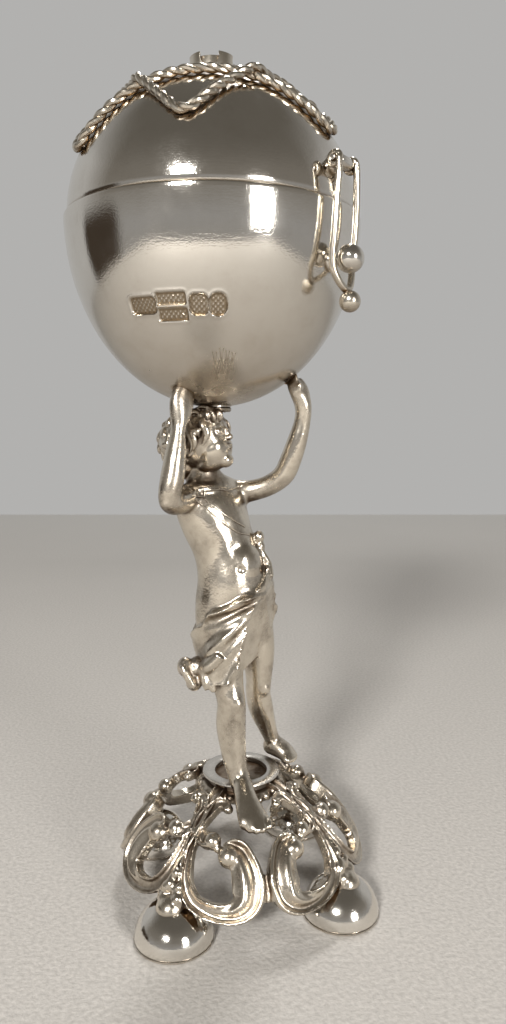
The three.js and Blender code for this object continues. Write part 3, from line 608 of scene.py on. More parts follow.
seat_turn = math.degrees(math.acos(SEAT_RADIUS / BOWL_RADIUS))
low_turn, high_turn = (math.degrees(math.asin((z - RIM) / BOWL_DEPTH)) for z in (MARKS_LOW, MARKS_HIGH))
bowl_profile = [(STUD_HOLE, GLOBE_BOTTOM), (SEAT_RADIUS, GLOBE_BOTTOM)]
bowl_profile += arc(BOWL_RADIUS, BOWL_DEPTH, RIM, -seat_turn, low_turn, 26)
bowl_profile += arc(BOWL_RADIUS, BOWL_DEPTH, RIM, low_turn, high_turn, 56)[1:]
bowl_profile += arc(BOWL_RADIUS, BOWL_DEPTH, RIM, high_turn, OUTSIDE_END, 14)[1:]
lip = arc(RIM_ROUND, RIM_ROUND, RIM - RIM_ROUND, 0, 90, 4)
bowl_profile += [(BOWL_RADIUS - RIM_ROUND + radius, height) for radius, height in lip]
bowl_profile += arc(BOWL_RADIUS - BOWL_WALL, BOWL_DEPTH - BOWL_WALL, RIM, 0, -seat_turn, ARC_STEPS // 2)
bowl_profile.append((STUD_HOLE, GLOBE_BOTTOM + BOWL_WALL))
plain_part = lathe("bowl", bowl_profile, GLOBE, 112, MARKS_END, 360 + MARKS_START)
marked_part = lathe("bowl_marks", bowl_profile, GLOBE, 168, MARKS_START, MARKS_END)
bowl = clean(join("bowl", plain_part, marked_part))
print("bowl turned,", len(bowl.data.polygons), "faces")

# %% [markdown]
# ### Struck marks
# The real bowl is struck with small sunk punches. Theirs are left out here: each place holds a
# cartouche with a raised edge and a plain grid of dots. That part of the bowl was turned in finer
# steps, and each of its corners is pushed in by the depth of the nearest punch. Under them lies a
# patch of generic scratches.

# %% Blank cartouches
# Each punch: azimuth in degrees, then height, half width, half height and corner radius in mm.
PUNCHES = [
    (-27.0, 83.8, 1.95, 1.05, 0.6), (-14.3, 84.4, 2.00, 0.80, 0.35), (-14.3, 82.65, 2.00, 0.80, 0.35),
    (-3.1, 83.7, 1.25, 1.25, 0.8), (4.6, 83.7, 1.20, 1.35, 1.1),
]
PUNCH_DEPTH = 0.34 * MM
PUNCH_EDGE = 0.20 * MM
PUNCH_SWELL = 0.07 * MM
DOT_PITCH = 0.62 * MM
DOT_HEIGHT = 0.15 * MM

# Each scratch: azimuth from the patch's middle, height from it and length, in degrees and mm.
PATCH_TURN, PATCH_LEVEL = 6.3, 76.9
SCRATCHES = [
    (-3.2, 0.2, 2.6), (-1.6, -0.6, 2.2), (0.4, 0.5, 2.9), (1.9, -0.2, 1.8),
    (3.6, 0.3, 2.7), (5.4, -0.4, 2.3), (7.0, 0.4, 2.1),
]
BURR_RADIUS = 0.055 * MM
BURR_LEAN, BURR_CROSS = 0.9, 1.9
SKIN = 0.1 * MM


def smooth_step(low, high, value):
    share = min(1.0, max(0.0, (value - low) / (high - low)))
    return share * share * (3 - 2 * share)


def on_bowl(point):
    """Azimuth and height of a point on the globe."""
    from_axis = point - GLOBE
    return math.degrees(math.atan2(from_axis.x, -from_axis.y)), point.z


def punched(azimuth, height, radius):
    """How far the surface is pushed in at a place, in metres."""
    depth = 0.0
    for turn, *sizes in PUNCHES:
        level, half_wide, half_high, corner = (size * MM for size in sizes)
        along = math.radians(azimuth - turn) * radius
        up = height - level
        beside = abs(along) - half_wide + corner
        over = abs(up) - half_high + corner
        gap = math.hypot(max(beside, 0), max(over, 0)) + min(max(beside, over), 0) - corner
        sunk = PUNCH_DEPTH * (1 - smooth_step(-PUNCH_EDGE, 0, gap))
        swell = PUNCH_SWELL * math.exp(-((gap - 0.3 * PUNCH_EDGE) / PUNCH_EDGE) ** 2)
        dots = math.cos(2 * math.pi * along / DOT_PITCH) * math.cos(2 * math.pi * up / DOT_PITCH)
        field = 1 - smooth_step(-2.2 * PUNCH_EDGE, -1.2 * PUNCH_EDGE, gap)
        depth += sunk - swell - DOT_HEIGHT * max(0, dots) * field
    return depth


def skin_radius(height):
    """The bowl's radius at a height."""
    return BOWL_RADIUS * math.sqrt(max(0, 1 - ((RIM - height) / BOWL_DEPTH) ** 2))


stain_and_shade_layer = bowl.data.attributes.new("struck_and_shaded", "FLOAT", "POINT")
for corner, value in zip(bowl.data.vertices, stain_and_shade_layer.data):
    azimuth, height = on_bowl(corner.co)
    radius = skin_radius(height)
    reach = (corner.co - GLOBE).xy.length
    marked = MARKS_START < azimuth < MARKS_END and MARKS_LOW < height < MARKS_HIGH
    if marked and reach > radius - SKIN:
        depth = punched(azimuth, height, radius)
        corner.co = GLOBE + facing(azimuth) * (reach - depth) + Vector((0, 0, height))
        value.value = smooth_step(0.3, 1.0, depth / PUNCH_DEPTH)
dress(bowl, "polished_silver", "stand", "bowl_shell", crease=50)

burrs = []
for turn, shift, length in SCRATCHES:
    for way in (-1, 1):
        ends = []
        for share in (0, 0.5, 1):
            azimuth = PATCH_TURN + turn - way * BURR_LEAN + share * way * BURR_CROSS
            level = (PATCH_LEVEL + shift + (share - 0.5) * length) * MM
            ends.append(GLOBE + facing(azimuth) * skin_radius(level) + Vector((0, 0, level)))
        burrs.append(wire("burr", ends, BURR_RADIUS, sides=1))
dress(join("scratched_patch", *burrs), "wire_silver", "stand", crease=60)

# %% [markdown]
# ## The lid
# The lid is a flatter dome of the same sheet. Its edge is thin and slightly rounded where it stands
# inside the bowl's rim.

# %% Lid
LID_WALL = 0.7 * MM
LID_EDGE = 0.15 * MM

lid_profile = [(LID_RADIUS - LID_EDGE, RIM + 0.01 * MM)]
lid_profile += arc(LID_RADIUS, LID_HEIGHT, RIM, 0.6, 90, ARC_STEPS)
lid_profile += arc(LID_RADIUS - LID_WALL, LID_HEIGHT - LID_WALL, RIM, 90, 0, ARC_STEPS // 2)
dress(lathe("lid", lid_profile, GLOBE, SPIN_STEPS), "polished_silver", "lid", "lid_shell", crease=50)

# %% [markdown]
# ### Inside the rim
# A short ring soldered inside the bowl, the bezel, keeps the lid from sliding sideways. It shows only
# when the lid is open, and so do the washer and nut that hold the globe to the figure.

# %% Bezel, seat, stud, washer and nut
BEZEL_WALL = 0.6 * MM
BEZEL_PLAY = 0.3 * MM
BEZEL_EDGE = 0.2 * MM
SEAT_BEAD = 0.2 * MM
STUD_RADIUS, NUT_RADIUS = 0.8 * MM, 1.9 * MM
WASHER_FACE, WASHER_RADIUS = 2.25 * MM, 2.3 * MM

low, high = levels("bowl_bezel")
outer = LID_RADIUS - LID_WALL - BEZEL_PLAY
inner = outer - BEZEL_WALL
fixed = width("bowl_bezel") / 2
profile = [(inner, low), (fixed, low), (fixed, RIM - BEZEL_PLAY), (outer, RIM), (outer, high - BEZEL_EDGE)]
profile += [(outer - BEZEL_EDGE, high), (inner, high)]
dress(lathe("bezel", profile, GLOBE, SPIN_STEPS), "bright_silver", "stand", "bowl_bezel")

flat = SEAT_RADIUS - SEAT_BEAD
profile = [(STUD_HOLE, HEAD_TOP), (flat, HEAD_TOP), (SEAT_RADIUS, HEAD_TOP + SEAT_BEAD)]
profile += [(SEAT_RADIUS, GLOBE_BOTTOM - SEAT_BEAD), (flat, GLOBE_BOTTOM), (STUD_HOLE, GLOBE_BOTTOM)]
dress(lathe("globe_seat_disc", profile, GLOBE, 48), "cast_silver", "stand", "globe_seat")


def upright(name, low, high, radius, sides, edge=0.0):
    """A bar on the globe's axis."""
    return bar(name, (GLOBE.x, 0, low), (GLOBE.x, 0, high), radius, sides, edge)


stud = upright("stud", *levels("globe_stud"), STUD_RADIUS, 24, 0.15 * MM)
dress(stud, "bright_silver", "stand", "globe_stud")
low, high = levels("globe_washer")
profile = [(STUD_HOLE, low), (WASHER_FACE, low), (WASHER_RADIUS, (low + high) / 2), (WASHER_FACE, high)]
profile.append((STUD_HOLE, high))
dress(lathe("washer", profile, GLOBE, 48), "bright_silver", "stand", "globe_washer")
low, high = levels("globe_nut")
nut = upright("nut", low, high, NUT_RADIUS, 6, 0.12 * MM)
cut(nut, upright("nut_bore", low - MM, high + MM, STUD_HOLE, 32))
dress(nut, "bright_silver", "stand", "globe_nut")

# %% [markdown]
# ## The wire ornament
# Two triangles of twisted wire lie crossed over the lid and make a six-pointed star. The middle line of
# a triangle is given by how far it runs from the lid's top at each azimuth, with rounded corners. The
# upper triangle rises where the two cross. Two strands wind round that line.

# %% Star of twisted wire
STRAND = 0.405 * MM
ROPE_HALF = 0.225 * MM
TWIST_PITCH = 3.4 * MM
STAR_REACH = 36.2
STAR_CORNER = 6
UPPER_CORNER = -5.5
LOWER_CORNER = 60
CROSSING_SPREAD = 7
STAR_SHIFT = (-0.03, 0.01)
STAR_LIFT = 0.62 * MM
CROSSING_LIFT = 0.8 * MM
STAR_POINTS = 1100


def triangle_reach(angle):
    sides = [max(0, math.cos(math.radians(angle - side)) / STAR_REACH) for side in (60, 180, 300)]
    return sum(side**STAR_CORNER for side in sides) ** (-1 / STAR_CORNER)


def star_place(share, corner, other_corner, over):
    angle = corner + 360 * share
    reach = triangle_reach(angle - corner)
    polar = math.radians(reach)
    flat = facing(angle) * math.sin(polar) + Vector((*STAR_SHIFT, 0))
    unit = Vector((flat.x, flat.y, math.sqrt(1 - flat.length_squared)))
    near = math.exp(-(((reach - triangle_reach(angle - other_corner)) / CROSSING_SPREAD) ** 2))
    out = Vector((unit.x / LID_RADIUS, unit.y / LID_RADIUS, unit.z / LID_HEIGHT)).normalized()
    skin = GLOBE + Vector((unit.x * LID_RADIUS, unit.y * LID_RADIUS, RIM + unit.z * LID_HEIGHT))
    return skin + out * (STAR_LIFT + (near * CROSSING_LIFT if over else 0)), out


def twisted_triangle(name, corner, other_corner, over):
    places = [star_place(i / STAR_POINTS, corner, other_corner, over) for i in range(STAR_POINTS)]
    lengths = [0.0]
    for (here, _), (then, _) in zip(places, places[1:] + places[:1]):
        lengths.append(lengths[-1] + (then - here).length)
    turns = round(lengths[-1] / TWIST_PITCH)
    strands = []
    for side in (0, 1):
        points = []
        for i, (here, out) in enumerate(places):
            along = (places[(i + 1) % STAR_POINTS][0] - places[i - 1][0]).normalized()
            across = along.cross(out).normalized()
            wind = 2 * math.pi * turns * lengths[i] / lengths[-1] + math.pi * side
            points.append(here + ROPE_HALF * (math.cos(wind) * out + math.sin(wind) * across))
        strands.append(wire(name + "_strand", points, STRAND, closed=True, sides=3))
    return join(name, *strands)


for name, node, corner, other, over in (
    ("lower_triangle", "wire_loop_across", LOWER_CORNER, UPPER_CORNER, False),
    ("upper_triangle", "wire_loop_along", UPPER_CORNER, LOWER_CORNER, True),
):
    dress(twisted_triangle(name, corner, other, over), "wire_silver", "lid", node)

# %% [markdown]
# ## The collet
# At the very top stands a small open collet, a cup with four broad prongs between U-shaped gaps. It is
# turned, the gaps are cut with round files, which are cylinders here, and every edge is softened.

# %% Collet
COLLET_BASE = 3.6 * MM
COLLET_TOP = 3.2 * MM
COLLET_WALL = 0.5 * MM
LINING = 0.25 * MM
SCALLOPS = 4
SCALLOP_TURN = -5
FILE_HALF = 8

low, high = levels("finial_collet")
foot, mouth = COLLET_BASE - COLLET_WALL, COLLET_TOP - COLLET_WALL
profile = [
    (foot, low), (COLLET_BASE, low), (COLLET_BASE, low + 0.75 * MM),
    (COLLET_BASE - 0.35 * MM, low + 0.95 * MM), (COLLET_TOP - 0.05 * MM, low + 1.6 * MM),
    (COLLET_TOP, high), (mouth, high), (mouth - 0.1 * MM, low + 1.5 * MM),
]
collet = lathe("collet", profile, GLOBE, 96)
bite = 0.4 * COLLET_TOP
for i in range(SCALLOPS // 2):
    heading = facing(SCALLOP_TURN + 360 / SCALLOPS * i)
    for level in (high - 0.4 * bite, high + 0.15 * bite):
        at = Vector((GLOBE.x, 0, level))
        cut(collet, bar("file", at - heading * FILE_HALF * MM, at + heading * FILE_HALF * MM, bite, 48))
start, end = low + 0.05 * MM, high - 0.35 * MM
profile = [(foot - LINING, start), (foot, start), (mouth - 0.08 * MM, end), (mouth - 0.33 * MM, end)]
lining = lathe("lining", profile, GLOBE, 72)
modify(collet, "BEVEL", width=0.09 * MM, segments=2, limit_method="ANGLE", angle_limit=math.radians(40))
dress(join("collet", collet, lining), "wire_silver", "lid", "finial_collet")

# %% [markdown]
# ## The hasp and its stud
# The hasp is one length of wire. Each end is curled into an eye round the pin on the lid, the legs run
# down over the rim, bow apart to clear the stud's ball, and meet in a foot with a small ball to pull
# by. Everything here is placed from the pin: outwards, along the pin, and up from the rim.

# %% Hasp and latch stud
OUT = Vector((HASP_PIN.x - GLOBE.x, HASP_PIN.y, 0)).normalized()
ALONG = Vector((-OUT.y, OUT.x, 0))
REACH = (HASP_PIN - GLOBE).dot(OUT)
LATCH_LEVEL = top("latch_stud") - 1.6 * MM
LATCH_REACH = BOWL_RADIUS + 1.2 * MM
BALL_RADIUS, FINGER_BALL, FLANGE_RADIUS = 1.75 * MM, 1.34 * MM, 1.3 * MM
HASP_WIRE = 0.45 * MM
EYE_RING = 0.66 * MM
EYE_ASIDE = 1.87 * MM
CURL_TURN, CURL_STEPS = 296, 24


def beside_rim(out, along, up):
    """A place given outwards from the globe's axis, along the hasp's pin, and up from the rim."""
    return GLOBE + OUT * out + ALONG * along + Vector((0, 0, RIM + up))

def rim_bar(name, start, end, radius, sides=24, edge=0.0):
    """A bar between two such places."""
    return bar(name, beside_rim(*start), beside_rim(*end), radius, sides, edge)


rise = HASP_PIN.z - RIM
drop = LATCH_LEVEL - RIM
leg = [
    (REACH + EYE_RING, 2.0 * MM, rise), (REACH + 0.72 * MM, 2.1 * MM, 2.6 * MM),
    (REACH + 0.62 * MM, 2.25 * MM, 0.4 * MM), (REACH + 0.5 * MM, 2.36 * MM, -2.2 * MM),
    (LATCH_REACH - 0.3 * MM, 2.36 * MM, drop + 2.4 * MM), (LATCH_REACH - 0.55 * MM, 2.34 * MM, drop),
    (LATCH_REACH - 0.45 * MM, 2.15 * MM, drop - 1.5 * MM),
    (LATCH_REACH - 0.15 * MM, 1.45 * MM, drop - 2.75 * MM),
    (LATCH_REACH + 0.1 * MM, 0.6 * MM, drop - 3.55 * MM), (LATCH_REACH + 0.2 * MM, 0.0, drop - 3.8 * MM),
]
curl = []
for i in range(CURL_STEPS):
    turn = math.radians(CURL_TURN - CURL_TURN * i / CURL_STEPS)
    curl.append((REACH + EYE_RING * math.cos(turn), EYE_ASIDE, rise + EYE_RING * math.sin(turn)))
side = curl + smooth_through(leg, 8)
other = [(out, -along, up) for out, along, up in reversed(side[:-1])]
hasp = wire("hasp", [beside_rim(*station) for station in side + other], HASP_WIRE, sides=5)
finger = pearl("finger_ball", beside_rim(LATCH_REACH + 0.65 * MM, 0, drop - 5.15 * MM), FINGER_BALL)
start, end = (LATCH_REACH + 0.2 * MM, 0, drop - 3.7 * MM), (LATCH_REACH + 0.55 * MM, 0, drop - 4.5 * MM)
stalk = rim_bar("finger_stalk", start, end, 0.4 * MM)
dress(join("hasp", hasp, finger, stalk), "wire_silver", "hasp", "hasp_loop", crease=60)

skin_reach = BOWL_RADIUS * math.sqrt(1 - (drop / BOWL_DEPTH) ** 2)
head = pearl("stud_ball", beside_rim(LATCH_REACH + 0.6 * MM, 0, drop), BALL_RADIUS, 48, 32)
shank = rim_bar("stud_shank", (skin_reach - 0.3 * MM, 0, drop), (LATCH_REACH, 0, drop), 0.6 * MM)
start, end = (skin_reach - 0.45 * MM, 0, drop), (skin_reach + 0.38 * MM, 0, drop)
flange = rim_bar("stud_flange", start, end, FLANGE_RADIUS, 40, 0.16 * MM)
dress(join("ball_stud", head, shank, flange), "polished_silver", "stand", "latch_stud", crease=50)

# %% Hasp tube and pin
TUBE_RADIUS = 0.8 * MM
TUBE_HALF = 1.3 * MM
BORE_HALF = 3 * MM
PIN_HOLE = 0.5 * MM
PIN_RADIUS = 0.35 * MM
SADDLE_RADIUS = 1.15 * MM
PIN_HALF = EYE_ASIDE + HASP_WIRE + 0.25 * MM


def eye_bar(name, half, radius, sides, edge=0.0):
    """A bar along the hasp's pin, as far to one side as to the other."""
    return rim_bar(name, (REACH, -half, rise), (REACH, half, rise), radius, sides, edge)


tube = eye_bar("tube", TUBE_HALF, TUBE_RADIUS, 40, 0.1 * MM)
cut(tube, eye_bar("bore", BORE_HALF, PIN_HOLE, 32))
foot_reach = LID_RADIUS * math.sqrt(1 - (rise / LID_HEIGHT) ** 2)
start, end = (foot_reach - 0.15 * MM, 0, rise - 0.15 * MM), (REACH - 0.55 * MM, 0, rise)
saddle = rim_bar("saddle", start, end, SADDLE_RADIUS, 40, 0.12 * MM)
dress(join("hasp_tube_and_saddle", tube, saddle), "polished_silver", "lid", "hasp_tube", crease=45)
dress(eye_bar("pin", PIN_HALF, PIN_RADIUS, 24, 0.1 * MM), "bright_silver", "lid", "hasp_pin")

# %% [markdown]
# ## The hinge
# Behind, opposite the hasp, three knuckles turn on one pin. Each has a leaf that lies on the curve of
# the globe. A leaf is a flat grid laid on that curve and given the thickness of sheet.

# %% Hinge
KNUCKLE = 1.1 * MM
KNUCKLE_BORE = 0.62 * MM
SHAFT, SHAFT_HEAD = 0.5 * MM, 0.75 * MM
HINGE_REACH = (GLOBE - HINGE_PIN).dot(OUT)
LEAF = 0.6 * MM
LEAF_LIFT = 0.15 * MM
# Each knuckle: where it starts and ends along the pin and how low and high its leaf reaches, in mm.
KNUCKLES = [
    ("knuckle_left", "bowl_knuckle_left", "stand", (1.9, 4.5, -3.6, -0.1), BOWL_RADIUS, BOWL_DEPTH),
    ("knuckle_right", "bowl_knuckle_right", "stand", (-4.5, -1.9, -3.6, -0.1), BOWL_RADIUS, BOWL_DEPTH),
    ("knuckle_middle", "lid_knuckle", "lid", (-1.6, 1.6, 0.35, 3.9), LID_RADIUS + 0.35 * MM, LID_HEIGHT),
]


def leaf(name, start, end, low, high, radius, height):
    """A plate on the curve of the bowl or the lid; low and high are levels from the rim."""
    deselect()
    bpy.ops.mesh.primitive_grid_add(x_subdivisions=14, y_subdivisions=14, size=2)
    plate = take(name)
    for corner in plate.data.vertices:
        along = start + (end - start) * (corner.co.x + 1) / 2
        level = low + (high - low) * (corner.co.y + 1) / 2
        reach = math.sqrt((radius * math.sqrt(1 - (level / height) ** 2)) ** 2 - along**2)
        corner.co = beside_rim(-reach - LEAF_LIFT, along, level)
    clean(plate)
    face = plate.data.polygons[0]
    outwards = face.normal.dot(face.center - GLOBE) > 0
    modify(plate, "SOLIDIFY", thickness=LEAF, offset=1 if outwards else -1)
    limit = math.radians(50)
    return modify(plate, "BEVEL", width=0.1 * MM, segments=2, limit_method="ANGLE", angle_limit=limit)


def hinge_bar(name, start, end, radius, sides, edge=0.0):
    """A bar along the hinge's pin; start and end are in mm."""
    return rim_bar(name, (-HINGE_REACH, start * MM, 0), (-HINGE_REACH, end * MM, 0), radius, sides, edge)


for name, node, body, (start, end, low, high), radius, height in KNUCKLES:
    barrel = hinge_bar(name, start, end, KNUCKLE, 40, 0.12 * MM)
    cut(barrel, hinge_bar("bore", -9, 9, KNUCKLE_BORE, 32))
    plate = leaf(name + "_leaf", start * MM, end * MM, low * MM, high * MM, radius, height)
    dress(join(name, barrel, plate), "polished_silver", body, node, crease=45)
shaft = hinge_bar("shaft", -4.8, 4.8, SHAFT, 24, 0.08 * MM)
heads = [hinge_bar("pin_head", side * 4.75, side * 4.99, SHAFT_HEAD, 24, 0.15 * MM) for side in (-1, 1)]
dress(join("hinge_shaft", shaft, *heads), "bright_silver", "stand", "hinge_pin")

# %% [markdown]
# ## The openwork dome
# The dome is one casting: on each of its four sides two large scrolls face each other, swell into fluted
# tongues that touch in the middle, and end in a round volute. Above them sit two small scrolls. Between
# the sides a lobed leaf grows out over each foot. Every band is a row of sections laid on the curve of
# the dome, so places are given as degrees from the middle of a side and as a share of the dome's height.

# %% The curve of the dome
DOME_RADIUS = 18.03 * MM
DOME_SKIRT = 2.5 * MM
DOME_RISE = 14.6 * MM
FULLNESS = 1.8
foot_from_axis = middle("foot_front_left") - BASE
FIRST_FOOT = math.degrees(math.atan2(foot_from_axis.x, -foot_from_axis.y))
FOOT_CIRCLE = foot_from_axis.xy.length
FIRST_SIDE = FIRST_FOOT + 45


def dome_radius(share):
    return DOME_RADIUS * (1 - share**FULLNESS) ** (1 / FULLNESS)


def dome_out(angle, share):
    slope = FULLNESS - 1
    out = facing(angle) * (dome_radius(share) / DOME_RADIUS) ** slope / DOME_RADIUS
    out.z = share**slope / DOME_RISE
    return out.normalized()


def dome_place(angle, share, lift=0.0):
    place = BASE + facing(angle) * dome_radius(share) + Vector((0, 0, DOME_SKIRT + DOME_RISE * share))
    return place + dome_out(angle, share) * lift


def sweep(name, rings):
    """A closed skin over a row of rings that all have the same number of points."""
    deselect()
    around, rows = len(rings[0]), len(rings) - 1
    bpy.ops.mesh.primitive_grid_add(x_subdivisions=around, y_subdivisions=rows, size=1)
    obj = take(name)
    for corner in obj.data.vertices:
        column = round((corner.co.x + 0.5) * around) % around
        corner.co = rings[round((corner.co.y + 0.5) * rows)][column]
    return clean(obj, 0.0001 * MM, fill=True)


def melt(obj, grain, rounds, factor=0.5):
    """Run overlapping forms together as a casting does, and soften the result."""
    modify(obj, "REMESH", mode="VOXEL", voxel_size=grain, use_smooth_shade=True)
    return modify(obj, "SMOOTH", factor=factor, iterations=rounds)


# %% Bands of the openwork
UPPER_POINTS, UNDER_POINTS, UNDER_EDGE = 17, 5, 0.92


def flute(inward, ridge):
    """Height of a band across its width, from its outer edge at -1; ridge turns the channel into a rib."""
    channel = smooth_step(0.45, 0.86, abs(inward))
    ribs = [(-0.82, 0.2, 0.85), (0.22, 0.44, 1.0)]
    rib = max(height * math.exp(-(((inward - place) / spread) ** 2)) for place, spread, height in ribs)
    return 0.15 + 0.85 * ((1 - ridge) * channel + ridge * rib)


def band(name, middle_turn, hand, stations):
    """A band through (angle, share, half width, half thickness, ridge)."""
    points = smooth_through(stations, 6)
    spots = [dome_place(middle_turn + hand * angle, share) for angle, share, *_ in points]
    rings = []
    for i, (angle, share, half, thick, ridge) in enumerate(points):
        along = (spots[min(i + 1, len(spots) - 1)] - spots[max(i - 1, 0)]).normalized()
        out = dome_out(middle_turn + hand * angle, share)
        across = along.cross(out).normalized()
        out = across.cross(along)
        ring = []
        for k in range(UPPER_POINTS):
            aside = -1 + 2 * k / (UPPER_POINTS - 1)
            ring.append(spots[i] + (across * aside * half + out * flute(aside * hand, ridge) * thick) * MM)
        for k in range(UNDER_POINTS):
            aside = UNDER_EDGE - UNDER_EDGE / 2 * k
            ring.append(spots[i] + (across * aside * half - out * thick) * MM)
        rings.append(ring)
    return sweep(name, rings)


LARGE_SCROLL = [
    (44.2, 0.80, 0.50, 0.60, 0), (43.6, 0.68, 0.70, 0.70, 0), (42.0, 0.52, 0.84, 0.75, 0),
    (39.2, 0.38, 0.90, 0.80, 0), (34.6, 0.27, 0.98, 0.85, 0), (28.5, 0.220, 1.05, 0.90, 0.1),
    (21.0, 0.198, 1.18, 0.95, 0.5), (14.4, 0.218, 1.55, 1.05, 0.9), (9.8, 0.290, 2.05, 1.15, 1),
    (8.8, 0.400, 2.25, 1.20, 1), (10.0, 0.510, 2.05, 1.20, 1), (13.4, 0.602, 1.75, 1.15, 0.7),
    (16.8, 0.618, 1.60, 1.20, 0.4), (19.6, 0.600, 1.30, 1.15, 0.2),
]
SMALL_SCROLL = [
    (24.0, 0.850, 0.60, 0.60, 0), (30.0, 0.872, 0.78, 0.68, 0), (37.0, 0.862, 0.88, 0.72, 0),
    (42.0, 0.800, 0.92, 0.75, 0), (43.2, 0.745, 0.90, 0.75, 0), (40.0, 0.700, 0.95, 0.80, 0),
    (36.0, 0.674, 1.08, 0.86, 0.2), (32.0, 0.668, 1.05, 0.90, 0.3),
]
STEM = [(45, 0.95, 0.9, 0.7, 0), (45, 0.84, 0.8, 0.72, 0), (45, 0.74, 0.85, 0.75, 0), (45, 0.60, 0.4, 0.5, 0)]
LEAF_BLADE = [
    (45, 0.64, 0.30, 0.45, 0), (45, 0.52, 0.60, 0.50, 0), (45, 0.42, 0.95, 0.55, 0),
    (45, 0.32, 1.50, 0.60, 0), (45, 0.23, 2.10, 0.65, 0), (45, 0.16, 1.80, 0.60, 0),
    (45, 0.09, 1.00, 0.55, 0),
]
BRIDGE = [(0, 0.27, 0.5, 0.6, 0), (0, 0.36, 0.6, 0.7, 0), (0, 0.47, 0.55, 0.7, 0)]
LOBE_LIFT = 0.34 * MM
LEAF_ROWS = [(0.42, 1), (0.35, 2), (0.29, 2), (0.23, 3), (0.175, 2)]

# Each scroll with the balls melted on to it: degrees, share of the height, lift and radius in mm.
FINE, ROUGH = (32, 20), (16, 10)
QUARTER_GRAIN = 0.17 * MM
SCROLLS = [
    (LARGE_SCROLL, [(19.3, 0.590, 0.1, 1.5, FINE)]),
    (
        SMALL_SCROLL,
        [
            (30.5, 0.672, 0.15, 1.22, FINE), (26.5, 0.635, 0.0, 0.62, ROUGH), (23.8, 0.615, 0.0, 0.55, ROUGH),
            (24, 0.852, 0.05, 0.64, FINE),
        ],
    ),
]
KNOB_REACH, KNOB_LEVEL, KNOB_RADIUS = 0.75 * MM, 4.45 * MM, 2.05 * MM

pieces = []
for hand in (-1, 1):
    for stations, balls in SCROLLS:
        pieces.append(band("scroll", FIRST_SIDE, hand, stations))
        for angle, share, lift, radius, fineness in balls:
            place = dome_place(FIRST_SIDE + hand * angle, share, lift * MM)
            pieces.append(pearl("ball", place, radius * MM, *fineness))
for stations in (BRIDGE, STEM, LEAF_BLADE):
    pieces.append(band("stem", FIRST_SIDE, 1, stations))
for row, (share, count) in enumerate(LEAF_ROWS):
    for i in range(count):
        aside = (i - (count - 1) / 2) * 1.3 + 0.3 * math.sin(9 * row + 5 * i)
        angle = 45 + math.degrees(aside * MM / dome_radius(share))
        radius = (0.74 + 0.16 * math.sin(7 * row + 3 * i)) * MM
        level = share + 0.018 * math.sin(4 * row + 7 * i)
        pieces.append(pearl("lobe", dome_place(FIRST_SIDE + angle, level, LOBE_LIFT), radius, *ROUGH))
knob_place = BASE + facing(FIRST_SIDE + 45) * (FOOT_CIRCLE + KNOB_REACH) + Vector((0, 0, KNOB_LEVEL))
pieces.append(pearl("knob", knob_place, KNOB_RADIUS))
quarter = join("openwork_quarter", *pieces)
print("bands and leaf:", len(quarter.data.polygons), "faces")
melt(quarter, QUARTER_GRAIN, 5)
print("melted:", len(quarter.data.polygons), "faces")

# %% [markdown]
# The four sides are copies of one, turned about the dome's axis, with a rough beaded ring to join them
# under the collar.

# %% Four sides and the crown
CROWN = [(4.3, 14.4), (5.9, 14.4), (6.3, 14.9), (5.8, 15.9), (4.3, 15.97)]
CROWN_BEADS = 26
CROWN_GRAIN = 0.16 * MM
CROWN_CIRCLE = 6.0

sides = [quarter]
for i in range(1, 4):
    only(quarter)
    bpy.ops.object.duplicate()
    copy = take("openwork_quarter_%d" % (i + 1))
    only(copy)
    bpy.ops.transform.rotate(value=-i * math.pi / 2, orient_axis="Z", center_override=tuple(BASE))
    sides.append(settle(copy))
crown = lathe("crown_ring", [(radius * MM, level * MM) for radius, level in CROWN], BASE, 72)
beads = []
for i in range(CROWN_BEADS):
    level = 15.2 * MM + 0.25 * MM * math.sin(5 * i)
    place = BASE + facing(FIRST_SIDE + 360 / CROWN_BEADS * i) * CROWN_CIRCLE * MM + Vector((0, 0, level))
    beads.append(pearl("crown_bead", place, (0.62 + 0.12 * math.sin(3 * i)) * MM, *ROUGH))
crown = melt(join("crown", crown, *beads), CROWN_GRAIN, 3)
for piece in sides + [crown]:
    dress(piece, "cast_silver", "stand", "base_openwork", crease=60)

# %% [markdown]
# ### Collar and feet
# The collar is a plain turned ring with a thin flange. A plate in its hole takes the full film colour:
# it is painted shade for the shadow inside the dome. The feet are polished domes with a thin edge
# where they meet the table.

# %% Collar
# The flange as radius and depth below the top, and the plate, which is painted shade, as radius and
# height above the foot.
FLANGE = [(5.1, 0.6), (5.7, 0.45), (5.84, 0.28), (5.78, 0.06), (5.6, 0), (4.15, 0.03), (3.97, 0.15)]
SHADE_PLATE = [(0.02, 0.2), (4.2, 0.2), (4.2, 0.55), (0.02, 0.75)]

low, high = levels("base_collar")
profile = [(3.95 * MM, low + 0.1 * MM), (5.1 * MM, low)]
profile += [(radius * MM, high - depth * MM) for radius, depth in FLANGE]
collar = lathe("collar", profile, BASE, 96)
plate = lathe("collar_shade_plate", [(radius * MM, low + height * MM) for radius, height in SHADE_PLATE], BASE, 48)
dress(collar, "bright_silver", "stand", "base_collar", crease=40)
# Painted shade: the whole plate is marked, so it takes the film colour and stands for the shadow seen through
# the hole.
stain_and_shade_layer = plate.data.attributes.new("struck_and_shaded", "FLOAT", "POINT")
for value in stain_and_shade_layer.data:
    value.value = 1.0
dress(plate, "cast_silver", "stand")

# %% Feet
FOOT_RADIUS = 5.55 * MM
FOOT_TOP = top("foot_front_left") + 1.0 * MM
EDGE = 0.28 * MM
TIP = 0.02 * MM
FEET = ("foot_front_left", "foot_front_right", "foot_rear_right", "foot_rear_left")

